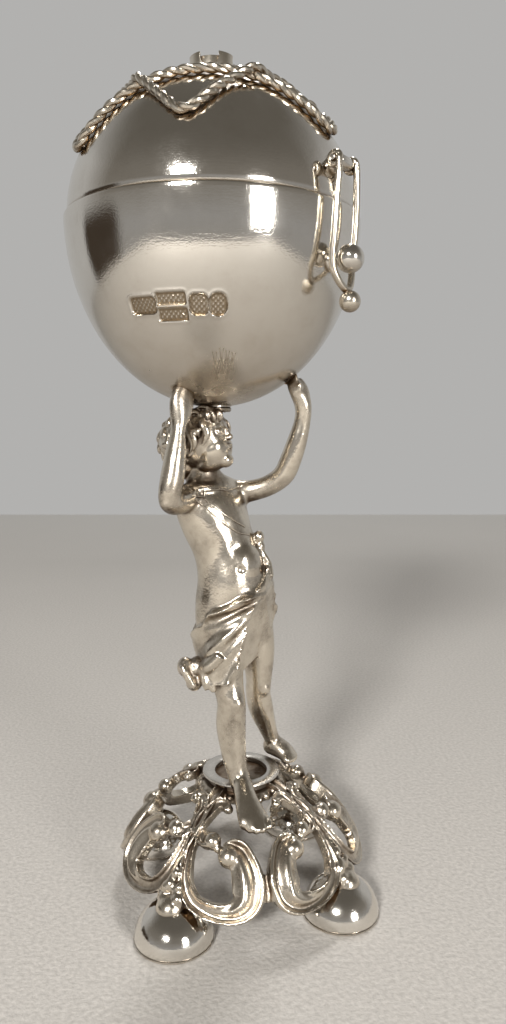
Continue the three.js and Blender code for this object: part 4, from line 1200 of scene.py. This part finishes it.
shoulder = FOOT_RADIUS - 0.12 * MM, EDGE + 0.06 * MM
profile = [(TIP, 0.0), (FOOT_RADIUS - 0.1 * MM, 0.0), (FOOT_RADIUS, 0.1 * MM), (FOOT_RADIUS, EDGE)]
profile += [(FOOT_RADIUS - 0.05 * MM, EDGE + 0.05 * MM), shoulder]
profile += arc(shoulder[0], FOOT_TOP - EDGE - 0.06 * MM, shoulder[1], 3, 88, 30) + [(TIP, FOOT_TOP)]
for i, node in enumerate(FEET):
    centre = BASE + facing(FIRST_FOOT + 90 * i) * FOOT_CIRCLE
    dress(lathe(node + "_dome", profile, centre, 72), "polished_silver", "stand", node, crease=32)

# %% [markdown]
# ## The boy
# The figure is a casting too, so it is built as a modeller would in wax: the masses of the body first,
# then the cloth, the hair and the face on top, each group run together and smoothed. Lengths are
# millimetres from the dome's axis, with heights from the table. The figure faces a little to the
# right, leans back, and looks up under the globe.

# %% Building in wax
FIGURE_TURN = 42
FIGURE_FRONT = facing(FIGURE_TURN)


def at(x, y, z):
    return BASE + Vector((x, y, z)) * MM


def oval(centre, across, ahead, sides, sway=Vector()):
    """A ring of points about a centre; the half axes and the sway are in mm."""
    turns = [2 * math.pi * k / sides for k in range(sides)]
    return [centre + (sway + across * math.cos(t) + ahead * math.sin(t)) * MM for t in turns]


def flesh(name, stations, front=FIGURE_FRONT, steps=6):
    """A limb through (x, y, z, half width, half depth); front says which way its depth lies."""
    points = smooth_through(stations, steps)
    spots = [at(x, y, z) for x, y, z, *_ in points]
    rings = []
    for i, (*_, wide, deep) in enumerate(points):
        along = (spots[min(i + 1, len(spots) - 1)] - spots[max(i - 1, 0)]).normalized()
        across = along.cross(front).normalized()
        rings.append(oval(spots[i], across * wide, across.cross(along) * deep, 24))
    return sweep(name, rings)


def tilted(azimuth, tilt):
    """The ways forwards, sideways and up for what faces an azimuth with its front raised by a tilt."""
    ahead, lean = facing(azimuth), math.radians(tilt)
    forward = ahead * math.cos(lean) + Vector((0, 0, math.sin(lean)))
    upward = Vector((0, 0, math.cos(lean))) - ahead * math.sin(lean)
    return forward, facing(azimuth + 90), upward


def lump(name, x, y, z, sizes, azimuth=FIGURE_TURN, tilt=0.0, segments=24):
    """An egg; sizes are its half lengths forwards, sideways and up."""
    obj = pearl(name, (0, 0, 0), MM, segments, segments * 2 // 3)
    forward, aside, upward = tilted(azimuth, tilt)
    for corner in obj.data.vertices:
        x_part, y_part, z_part = corner.co
        place = at(x, y, z) + forward * x_part * sizes[0]
        corner.co = place + aside * y_part * sizes[1] + upward * z_part * sizes[2]
    return obj


def press(obj, places):
    """Push the skin in or out near places; each is (point, reach, height), height outwards in mm."""
    moves = []
    for corner in obj.data.vertices:
        height = 0.0
        for point, reach, rise in places:
            gap = (corner.co - point).length / (reach * MM)
            if gap < 3:
                height += rise * math.exp(-gap * gap)
        moves.append(height)
    for corner, height in zip(obj.data.vertices, moves):
        if height:
            corner.co += corner.normal * height * MM


# %% [markdown]
# ### Body, arms and legs
# The near arm folds sharply and the far one opens in a curve. The weight is on the near leg, whose foot
# hangs over the edge of the crown.

# %% Masses of the body
# Each limb through (x, y, z, half width, half depth), and each egg as its place and half lengths.
TORSO = [
    (-1.0, 0.1, 36.5, 4.6, 3.9), (-1.1, 0.2, 40.0, 6.0, 4.7), (-1.1, 0.2, 43.4, 6.0, 5.0),
    (-1.2, -0.1, 47.0, 5.4, 5.0), (-2.3, 0.0, 51.2, 4.8, 4.4), (-3.7, 0.1, 55.4, 5.4, 4.3),
    (-4.5, 0.2, 58.2, 5.7, 3.9), (-4.9, 0.2, 60.2, 5.0, 3.0), (-5.2, 0.2, 61.6, 3.0, 2.4),
    (-5.5, 0.1, 63.4, 2.15, 2.1), (-6.0, 0.0, 66.3, 2.1, 2.1),
]
TORSO_EGGS = [
    ("chest_right", -4.9, -2.6, 57.2, (1.9, 2.3, 1.8)),
    ("chest_left", -2.3, -0.6, 57.4, (1.9, 2.2, 1.8)),
    ("belly", -0.2, -1.3, 48.6, (3.4, 3.6, 4.6)),
    ("lower_belly", 0.4, -1.6, 44.6, (3.6, 3.7, 2.8)),
    ("right_seat", -3.4, 1.6, 39.0, (3.0, 2.6, 3.4)),
    ("left_hip", 1.9, 2.4, 40.4, (3.3, 2.9, 4.2)),
    ("near_shoulder", -7.2, -2.6, 58.9, (2.2, 2.1, 2.2)),
    ("far_shoulder", -1.6, 2.2, 59.3, (2.1, 2.2, 2.0)),
    ("collar_bones", -4.6, -1.2, 60.3, (2.2, 3.6, 1.0)),
]
NEAR_ARM = [
    (-7.2, -2.6, 59.2, 2.0, 2.0), (-8.2, -5.2, 58.8, 1.8, 1.9), (-9.1, -7.9, 58.9, 1.7, 1.75),
    (-9.3, -9.0, 60.2, 1.6, 1.6), (-8.9, -8.8, 62.6, 1.62, 1.7), (-8.5, -8.4, 65.6, 1.4, 1.5),
    (-8.2, -7.9, 68.7, 0.95, 1.15), (-7.9, -7.4, 70.7, 1.6, 1.35), (-7.7, -7.1, 72.7, 1.85, 1.2),
    (-7.4, -6.7, 74.5, 1.3, 0.95),
]
FAR_ARM = [
    (-1.4, 2.2, 59.2, 2.1, 2.0), (1.4, 2.1, 59.5, 1.65, 1.65), (4.2, 1.5, 60.4, 1.55, 1.55),
    (6.3, 0.8, 62.0, 1.6, 1.6), (7.3, 0.4, 64.2, 1.55, 1.65), (8.2, 0.1, 66.9, 1.45, 1.5),
    (8.9, -0.2, 69.6, 1.2, 1.25), (9.0, -0.5, 71.9, 1.2, 1.3), (8.4, -0.7, 74.0, 1.6, 1.15),
    (7.6, -0.8, 75.4, 1.4, 0.85),
]
NEAR_LEG = [
    (-2.6, -1.6, 41.0, 3.0, 3.0), (-2.4, -3.0, 35.4, 2.8, 2.9), (-1.7, -4.0, 31.4, 2.15, 2.3),
    (-1.3, -4.4, 29.2, 2.0, 2.2), (-1.4, -4.2, 26.0, 2.1, 2.3), (-1.1, -4.4, 22.6, 1.85, 2.0),
    (-0.6, -4.8, 19.6, 1.6, 1.65), (0.0, -5.3, 17.8, 1.6, 1.6), (0.3, -5.6, 16.9, 1.5, 1.5),
]
FAR_LEG = [
    (1.6, 1.9, 40.6, 3.1, 3.1), (2.5, 1.7, 35.6, 2.6, 2.7), (2.7, 1.8, 31.0, 1.95, 2.1),
    (2.6, 2.2, 28.6, 1.85, 2.05), (3.1, 3.1, 25.4, 1.8, 2.1), (4.1, 4.1, 22.0, 1.35, 1.6),
    (4.9, 4.7, 19.6, 1.15, 1.3), (5.1, 4.8, 17.9, 1.3, 1.35),
]
NEAR_FOOT = [
    (-0.1, -4.3, 18.1, 1.4, 1.2), (0.3, -6.0, 17.6, 1.5, 1.5), (0.8, -8.0, 16.6, 1.65, 1.4),
    (1.5, -9.7, 15.4, 2.1, 1.1), (2.0, -10.8, 14.6, 2.25, 0.85), (2.2, -11.4, 14.2, 1.9, 0.6),
]
FAR_FOOT = [
    (4.2, 5.4, 18.3, 1.3, 1.2), (5.2, 4.6, 18.8, 1.5, 1.6), (6.4, 3.8, 18.5, 1.6, 1.45),
    (7.3, 3.2, 18.0, 1.55, 1.2), (7.9, 2.8, 17.7, 1.05, 0.7),
]
FOOT_UP = Vector((0, 0, 1))
BODY_GRAIN = 0.24 * MM

masses = [flesh("torso", TORSO)] + [lump(*egg) for egg in TORSO_EGGS]
masses.append(flesh("near_arm", NEAR_ARM, steps=8))
masses.append(lump("elbow", -9.5, -9.2, 59.0, (1.2, 1.25, 1.25)))
masses.append(flesh("far_arm", FAR_ARM, steps=8))
masses.append(flesh("near_leg", NEAR_LEG, steps=8))
masses.append(lump("near_knee", -0.6, -5.4, 29.6, (1.25, 1.2, 1.35)))
masses.append(lump("near_calf", -1.9, -3.3, 26.6, (1.5, 1.4, 2.6)))
masses.append(flesh("far_leg", FAR_LEG, steps=8))
masses.append(lump("far_knee", 3.4, 1.0, 29.6, (1.2, 1.15, 1.3)))
masses.append(flesh("near_foot", NEAR_FOOT, front=FOOT_UP))
masses.append(flesh("far_foot", FAR_FOOT, front=FOOT_UP))
for side in range(-2, 3):
    place = (2.2 + 0.95 * side, -11.6 + 0.22 * side * side, 14.05 + 0.06 * side * side)
    masses.append(lump("near_toe", *place, (1.0, 0.5, 0.72), 12, -30, 16))
    place = (7.9 + 0.34 * side - 0.1 * side * side, 2.8 + 0.52 * side, 17.7)
    masses.append(lump("far_toe", *place, (0.9, 0.5, 0.75), 52, -15, 16))
for i in range(4):
    place = (-7.9 + 0.42 * i, -6.75 + 0.5 * i, 74.6)
    masses.append(lump("near_finger", *place, (0.36, 0.36, 1.15), 40, 0, 12))
    place = (7.9 - 0.55 * i, -1.6 + 0.46 * i, 75.7)
    masses.append(lump("far_finger", *place, (0.36, 0.36, 1.0), -40, 0, 12))
masses.append(lump("near_thumb", -8.7, -7.3, 73.0, (0.42, 0.42, 1.3), 42, 20, 12))
masses.append(lump("far_thumb", 8.3, -1.9, 74.2, (0.4, 0.4, 1.2), 42, -20, 12))
body = melt(join("boy", *masses), BODY_GRAIN, 7)
print("body:", len(body.data.polygons), "faces")

# %% [markdown]
# ### The loincloth
# One cloth goes round the hips. Its folds fan out from where it is tucked in at the waist, and it ends
# on the other side in a gathered bundle. The top edge is slanted and rolled; the lower edge opens in
# front of the far thigh.

# %% Loincloth
CLOTH = [
    (-1.5, 0.1, 50.5, 5.0, 4.9), (-1.0, 0.1, 47.2, 5.5, 5.4), (-0.9, 0.2, 43.1, 6.2, 5.7),
    (-1.0, -0.2, 39.4, 6.3, 5.7), (-1.5, -1.5, 35.8, 5.1, 5.2), (-1.8, -2.8, 32.1, 4.1, 4.4),
    (-1.9, -3.0, 30.0, 3.9, 4.2),
]
# The top edge as azimuth and height.
TOP_EDGE = [
    (-180, 45.5), (-120, 40.5), (-90, 38.4), (-48, 40.6), (-29, 42.8), (16, 44.8),
    (50, 46.4), (68, 48.9), (100, 49.4), (140, 47.8), (180, 45.5),
]
COLUMNS, ROWS = 210, 60
CLOTH_GRAIN = 0.18 * MM


def cloth_top(azimuth):
    turn = (azimuth + 180) % 360 - 180
    before, after = next((a, b) for a, b in zip(TOP_EDGE, TOP_EDGE[1:]) if turn <= b[0])
    return before[1] + (after[1] - before[1]) * smooth_step(before[0], after[0], turn)


def cloth_hem(azimuth):
    front = 32.6 + 3.2 * smooth_step(30, 110, abs(azimuth + 20))
    thigh = 10.6 * smooth_step(4, 32, azimuth) * (1 - smooth_step(78, 112, azimuth))
    return min(front + thigh, cloth_top(azimuth) - 1.0)


def cloth_point(azimuth, height, thick):
    levels = [station[2] for station in CLOTH]
    i = next((k for k in range(len(levels) - 2) if height >= levels[k + 1]), len(levels) - 2)
    share = (height - levels[i]) / (levels[i + 1] - levels[i])
    x, y, _, wide, deep = (a + (b - a) * share for a, b in zip(CLOTH[i], CLOTH[i + 1]))
    turn = math.radians(azimuth - FIGURE_TURN)
    ahead = (deep + thick) * math.cos(turn)
    aside = (wide + thick) * math.sin(turn)
    side = facing(FIGURE_TURN + 90)
    return at(x, y, height) + (FIGURE_FRONT * ahead + side * aside) * MM


def fold(azimuth, height):
    """Height of the folds: rays from the tuck at the right of the waist, and soft waves elsewhere."""
    level = height - 45.2
    along = (azimuth - 62) * 0.1
    ray = math.atan2(level, -along)
    away = math.hypot(level, along)
    wave = math.cos(14.0 * ray + 0.35 * away) + 0.45 * math.cos(29 * ray + 1.3)
    return 0.40 * wave * smooth_step(0.5, 5, away) * (1 - 0.5 * smooth_step(9, 16, away))


rings = []
for row in range(ROWS + 1):
    share = row / ROWS
    ring = []
    for column in range(COLUMNS):
        azimuth = -180 + 360 * column / COLUMNS
        low, high = cloth_hem(azimuth), cloth_top(azimuth)
        height = low + (high - low) * share
        edge = 0.22 * math.exp(-(((1 - share) * (high - low) / 0.45) ** 2))
        edge += 0.12 * math.exp(-((share * (high - low) / 0.45) ** 2))
        ring.append(cloth_point(azimuth, height, 0.1 + fold(azimuth, height) + edge))
    rings.append(ring)
cloth = [
    sweep("loincloth", rings),
    lump("bundle_left", -7.9, -5.0, 34.9, (1.2, 1.15, 1.45), 0),
    lump("bundle_low", -6.6, -5.2, 32.7, (1.2, 1.2, 1.3), 0),
    lump("bundle_back", -6.2, -4.4, 35.0, (1.5, 1.3, 1.2), 0),
]
BUNDLE = [
    [(-8.2, -5.9, 35.4, 0.5, 0.5), (-7.5, -6.3, 34.0, 0.6, 0.6), (-6.5, -6.3, 32.3, 0.55, 0.55)],
    [
        (-7.0, -4.7, 34.4, 1.2, 1.2), (-5.6, -5.2, 34.6, 0.95, 1.0), (-4.2, -5.8, 35.4, 1.1, 1.1),
        (-2.6, -6.2, 37.0, 1.0, 0.8),
    ],
    [(-5.2, -5.6, 34.2, 0.8, 0.7), (-4.9, -6.0, 33.0, 0.75, 0.55), (-4.6, -6.1, 31.9, 0.5, 0.4)],
    [(-4.6, -5.6, 33.6, 0.5, 0.4), (-4.0, -6.1, 32.6, 0.6, 0.5), (-3.7, -6.3, 31.6, 0.4, 0.4)],
]
CLOTH_ROLL = [(3.0, -0.5, 50.9, 0.5, 0.5), (4.0, -0.7, 49.0, 0.6, 0.6), (4.3, -1.4, 47.2, 0.6, 0.6)]
cloth += [flesh("bundle_fold", stations) for stations in BUNDLE]
cloth.append(lump("knot", 2.7, -0.1, 52.9, (0.8, 0.85, 1.0), 60))
cloth.append(lump("knot_end", 2.9, -0.3, 51.5, (0.7, 0.75, 0.95), 60))
cloth.append(flesh("cloth_roll", CLOTH_ROLL))
body = melt(join("boy", body, *cloth), CLOTH_GRAIN, 2)
print("body with cloth:", len(body.data.polygons), "faces")

# %% [markdown]
# ### Head and hair
# The face is a calm one drawn by rule: the eyes lie halfway down the head, the nose ends halfway from
# there to the chin, and the mouth a third of the way below the nose. The hair is worked in short waves,
# with a tuft over the forehead that bears against the seat of the globe.

# %% Head
HEAD = (-6.1, -0.3, 66.7)
HEAD_TURN = 66
HEAD_TILT = 20
HEAD_SCALE = 1.1
SKULL_GRAIN, FACE_GRAIN, HAIR_GRAIN = 0.13 * MM, 0.11 * MM, 0.12 * MM


def on_head(ahead, aside, up):
    """A place in the head's own directions, in mm from its middle."""
    forward, side, upward = tilted(HEAD_TURN, HEAD_TILT)
    return at(*HEAD) + (forward * ahead + side * aside + upward * up) * HEAD_SCALE * MM


def head_lump(name, ahead, aside, up, sizes, lean=0.0, segments=28):
    place = (on_head(ahead, aside, up) - BASE) / MM
    return lump(name, *place, [HEAD_SCALE * size for size in sizes], HEAD_TURN, HEAD_TILT + lean, segments)


def both_sides(aside):
    """The right and the left place of a feature, or the one in the middle."""
    return (-aside, aside) if aside else (0,)


# What is pressed into the face: (ahead, aside, up), then its reach and height.
FACE = [
    ((4.3, 1.2, 0.05), 0.75, -0.42), ((4.35, 1.2, 0.85), 0.62, 0.18), ((4.5, 0, 0.35), 0.5, 0.16),
    ((3.8, 1.75, -1.4), 0.95, 0.22), ((4.1, 0, -2.62), 0.55, -0.16), ((3.7, 1.15, -2.1), 0.5, -0.12),
]
FEATURES = [
    ("nose_bridge", 4.42, 0, -0.05, (0.42, 0.3, 0.75), 12, 16),
    ("nose_tip", 4.62, 0, -0.8, (0.46, 0.46, 0.4), 0, 16),
    ("nostril", 4.45, 0.4, -0.9, (0.36, 0.24, 0.24), 0, 14),
    ("upper_lip", 4.22, 0, -1.78, (0.36, 0.75, 0.17), 0, 16),
    ("lower_lip", 4.16, 0, -2.12, (0.36, 0.6, 0.19), 0, 16),
    ("eye", 3.92, 1.22, 0.05, (0.36, 0.52, 0.3), 0, 16),
    ("eyelid", 4.02, 1.25, 0.3, (0.32, 0.62, 0.12), 0, 16),
    ("ear", -0.1, 3.25, -0.75, (0.75, 0.35, 1.05), 0, 16),
]
THROAT = [(-5.7, 0.0, 61.0, 2.3, 2.3), (-5.9, 0.0, 63.5, 2.05, 2.1), (-6.2, -0.1, 66.0, 2.2, 2.3)]

skull = [
    head_lump("skull", 0.0, 0, 0.4, (4.5, 3.7, 3.9)),
    head_lump("cheeks", 1.6, 0, -1.6, (2.7, 2.75, 2.5)),
    head_lump("chin", 3.0, 0, -3.45, (1.1, 1.15, 0.95)),
    head_lump("jaw", 1.2, 0, -2.9, (2.5, 2.2, 1.4)),
    flesh("throat", THROAT),
]
head = melt(join("head", *skull), SKULL_GRAIN, 8)
presses = []
for (ahead, aside, up), reach, height in FACE:
    presses += [(on_head(ahead, side, up), reach, height) for side in both_sides(aside)]
press(head, presses)
features = []
for name, ahead, aside, *rest in FEATURES:
    features += [head_lump(name, ahead, side, *rest) for side in both_sides(aside)]
head = melt(join("head", head, *features), FACE_GRAIN, 2, 0.45)
print("head:", len(head.data.polygons), "faces")

# %% Hair
def lock(name, points, thick):
    """One wavy lock through (ahead, aside, up); it starts full and thins to its tip."""
    spots = smooth_through(points, 6)
    count = len(spots) - 1
    rings = []
    for i, spot in enumerate(spots):
        here = on_head(*spot)
        along = (on_head(*spots[min(i + 1, count)]) - on_head(*spots[max(i - 1, 0)])).normalized()
        away = (here - on_head(0, 0, 0)).normalized()
        across = along.cross(away).normalized()
        share = i / count
        fullness = 0.55 + 0.45 * math.sin(math.pi * min(1, share * 1.15))
        size = HEAD_SCALE * thick * fullness * (1 - 0.45 * share * share)
        sway = 0.22 * math.sin(2.4 * math.pi * share) * across
        rings.append(oval(here, across * size, away * 0.62 * size, 12, sway))
    return sweep(name, rings)


def scalp(round_, height, lift=0.0):
    """A place on the hair: degrees round from the brow (positive to the left ear) and up from the ears."""
    turn, up = math.radians(round_), math.radians(height)
    return (
        -0.35 + (4.6 + lift) * math.cos(turn) * math.cos(up),
        (3.9 + lift) * math.sin(turn) * math.cos(up),
        0.6 + (3.85 + lift * 0.6) * math.sin(up),
    )


# Each row of locks: height in degrees, how many, and how far the row is turned.
HAIR_ROWS = [(58, 9, 0), (36, 13, 8), (14, 15, 0), (-8, 13, 9), (-30, 10, 3)]
FORELOCKS, CRESTS = 7, 7
# The locks before the ears and how thick they are.
SIDE_LOCKS = [
    ([(3.1, 2.9, 2.2), (3.35, 3.2, 1.0), (2.9, 3.35, -0.2), (2.3, 3.2, -1.1)], 0.6),
    ([(1.5, 3.7, 2.0), (1.6, 4.0, 0.6), (1.1, 3.9, -0.6), (0.6, 3.6, -1.4)], 0.62),
]

hair = [
    head_lump("hair_mass", -0.9, 0, 1.0, (4.3, 3.95, 3.5)),
    head_lump("hair_back", -2.6, 0, -1.2, (2.3, 3.3, 2.9)),
]
for row, (height, count, shift) in enumerate(HAIR_ROWS):
    for i in range(count):
        turn = shift - 180 + 360 * i / count
        turn += 7 * math.sin(5.1 * i + 1.7 * row)
        gap = abs((turn + 180) % 360 - 180)
        if gap < 44 and height < 30 or gap < 66 and height < 10 or gap < 92 and height < -20:
            continue
        drop = 20 + 4 * math.sin(3.3 * i + row)
        side = 14 * math.sin(2.7 * i + 0.9 * row)
        points = [
            scalp(turn, height + 8, 0.05),
            scalp(turn + side * 0.4, height - drop * 0.35, 0.3),
            scalp(turn + side, height - drop * 0.8, 0.32),
            scalp(turn + side * 1.5, height - drop * 1.15, 0.05),
        ]
        hair.append(lock("lock", points, 0.62 + 0.08 * math.sin(4.3 * i)))
for i in range(FORELOCKS):
    aside = -1.8 + 0.6 * i
    curl = 0.5 * math.sin(2.0 * i)
    points = [(2.0, aside * 0.55, 3.9), (3.2, aside * 0.8, 3.85 + 0.1 * curl)]
    points += [(4.0, aside + 0.3 * curl, 3.2), (4.25, aside * 1.1 + 0.4 * curl, 2.6)]
    hair.append(lock("forelock", points, 0.58))
for side in (-1, 1):
    for points, thick in SIDE_LOCKS:
        hair.append(lock("side_lock", [(ahead, aside * side, up) for ahead, aside, up in points], thick))
for i in range(CRESTS):
    turn = -84 + 16 * i
    middle_of_hair = Vector((-3.7, 0, 70.45 + 0.12 * math.sin(2.3 * i)))
    place = middle_of_hair + (2.85 + 0.2 * math.sin(1.7 * i)) * facing(turn)
    hair.append(lump("crest", *place, (1.0, 0.52, 1.1 - 0.02 * i), turn + 35, 35, 16))
head = melt(join("head", head, *hair), HAIR_GRAIN, 1, 0.4)
print("head with hair:", len(head.data.polygons), "faces")

# %% [markdown]
# ### Straps and small marks
# A cord lies round the base of the neck. A narrow double strap crosses the chest from it towards the knot
# at the waist. The navel, the soft furrow of chest and belly, and the near knee are pressed in last.

# %% Straps and finishing
# The radius of each cord in mm, and the points that it lies near.
STRAPS = {
    0.17: [(-8.6, -3.2, 59.6), (-6.8, -5.0, 59.4), (-4.2, -5.0, 59.9), (-1.6, -2.6, 60.4), (0.2, 0.4, 60.6)],
    0.14: [(-6.2, -5.0, 59.2), (-4.2, -4.9, 57.4), (-2.0, -4.6, 55.6), (0.0, -3.6, 54.2), (1.6, -1.8, 53.6)],
    0.15: [(-4.8, -4.9, 59.4), (-2.8, -4.6, 57.6), (-0.8, -3.6, 56.0), (0.9, -2.2, 54.8)],
}
# Each mark on the body: its place, reach and height.
MARKS = [
    ((0.2, -4.9, 49.0), 0.5, -0.4), ((0.2, -4.9, 49.0), 0.95, 0.12), ((-1.6, -4.6, 55.5), 0.7, -0.25),
    ((-0.6, -4.4, 52.2), 0.7, -0.2), ((-1.4, -5.9, 30.6), 0.7, 0.15),
]


def laid(name, points, radius):
    """A thin cord that follows the skin nearest to each point."""
    spots = [at(*point) for point in smooth_through(points, 10)]
    return wire(name, [body.closest_point_on_mesh(spot)[1] for spot in spots], radius * MM, sides=2)


straps = [laid("strap", points, radius) for radius, points in STRAPS.items()]
press(body, [(at(*place), reach, height) for place, reach, height in MARKS])
body = join("boy_figure", body, head, *straps)
dress(body, "cast_silver", "stand", "figure_body", "figure_right_arm", "figure_left_arm", crease=60)
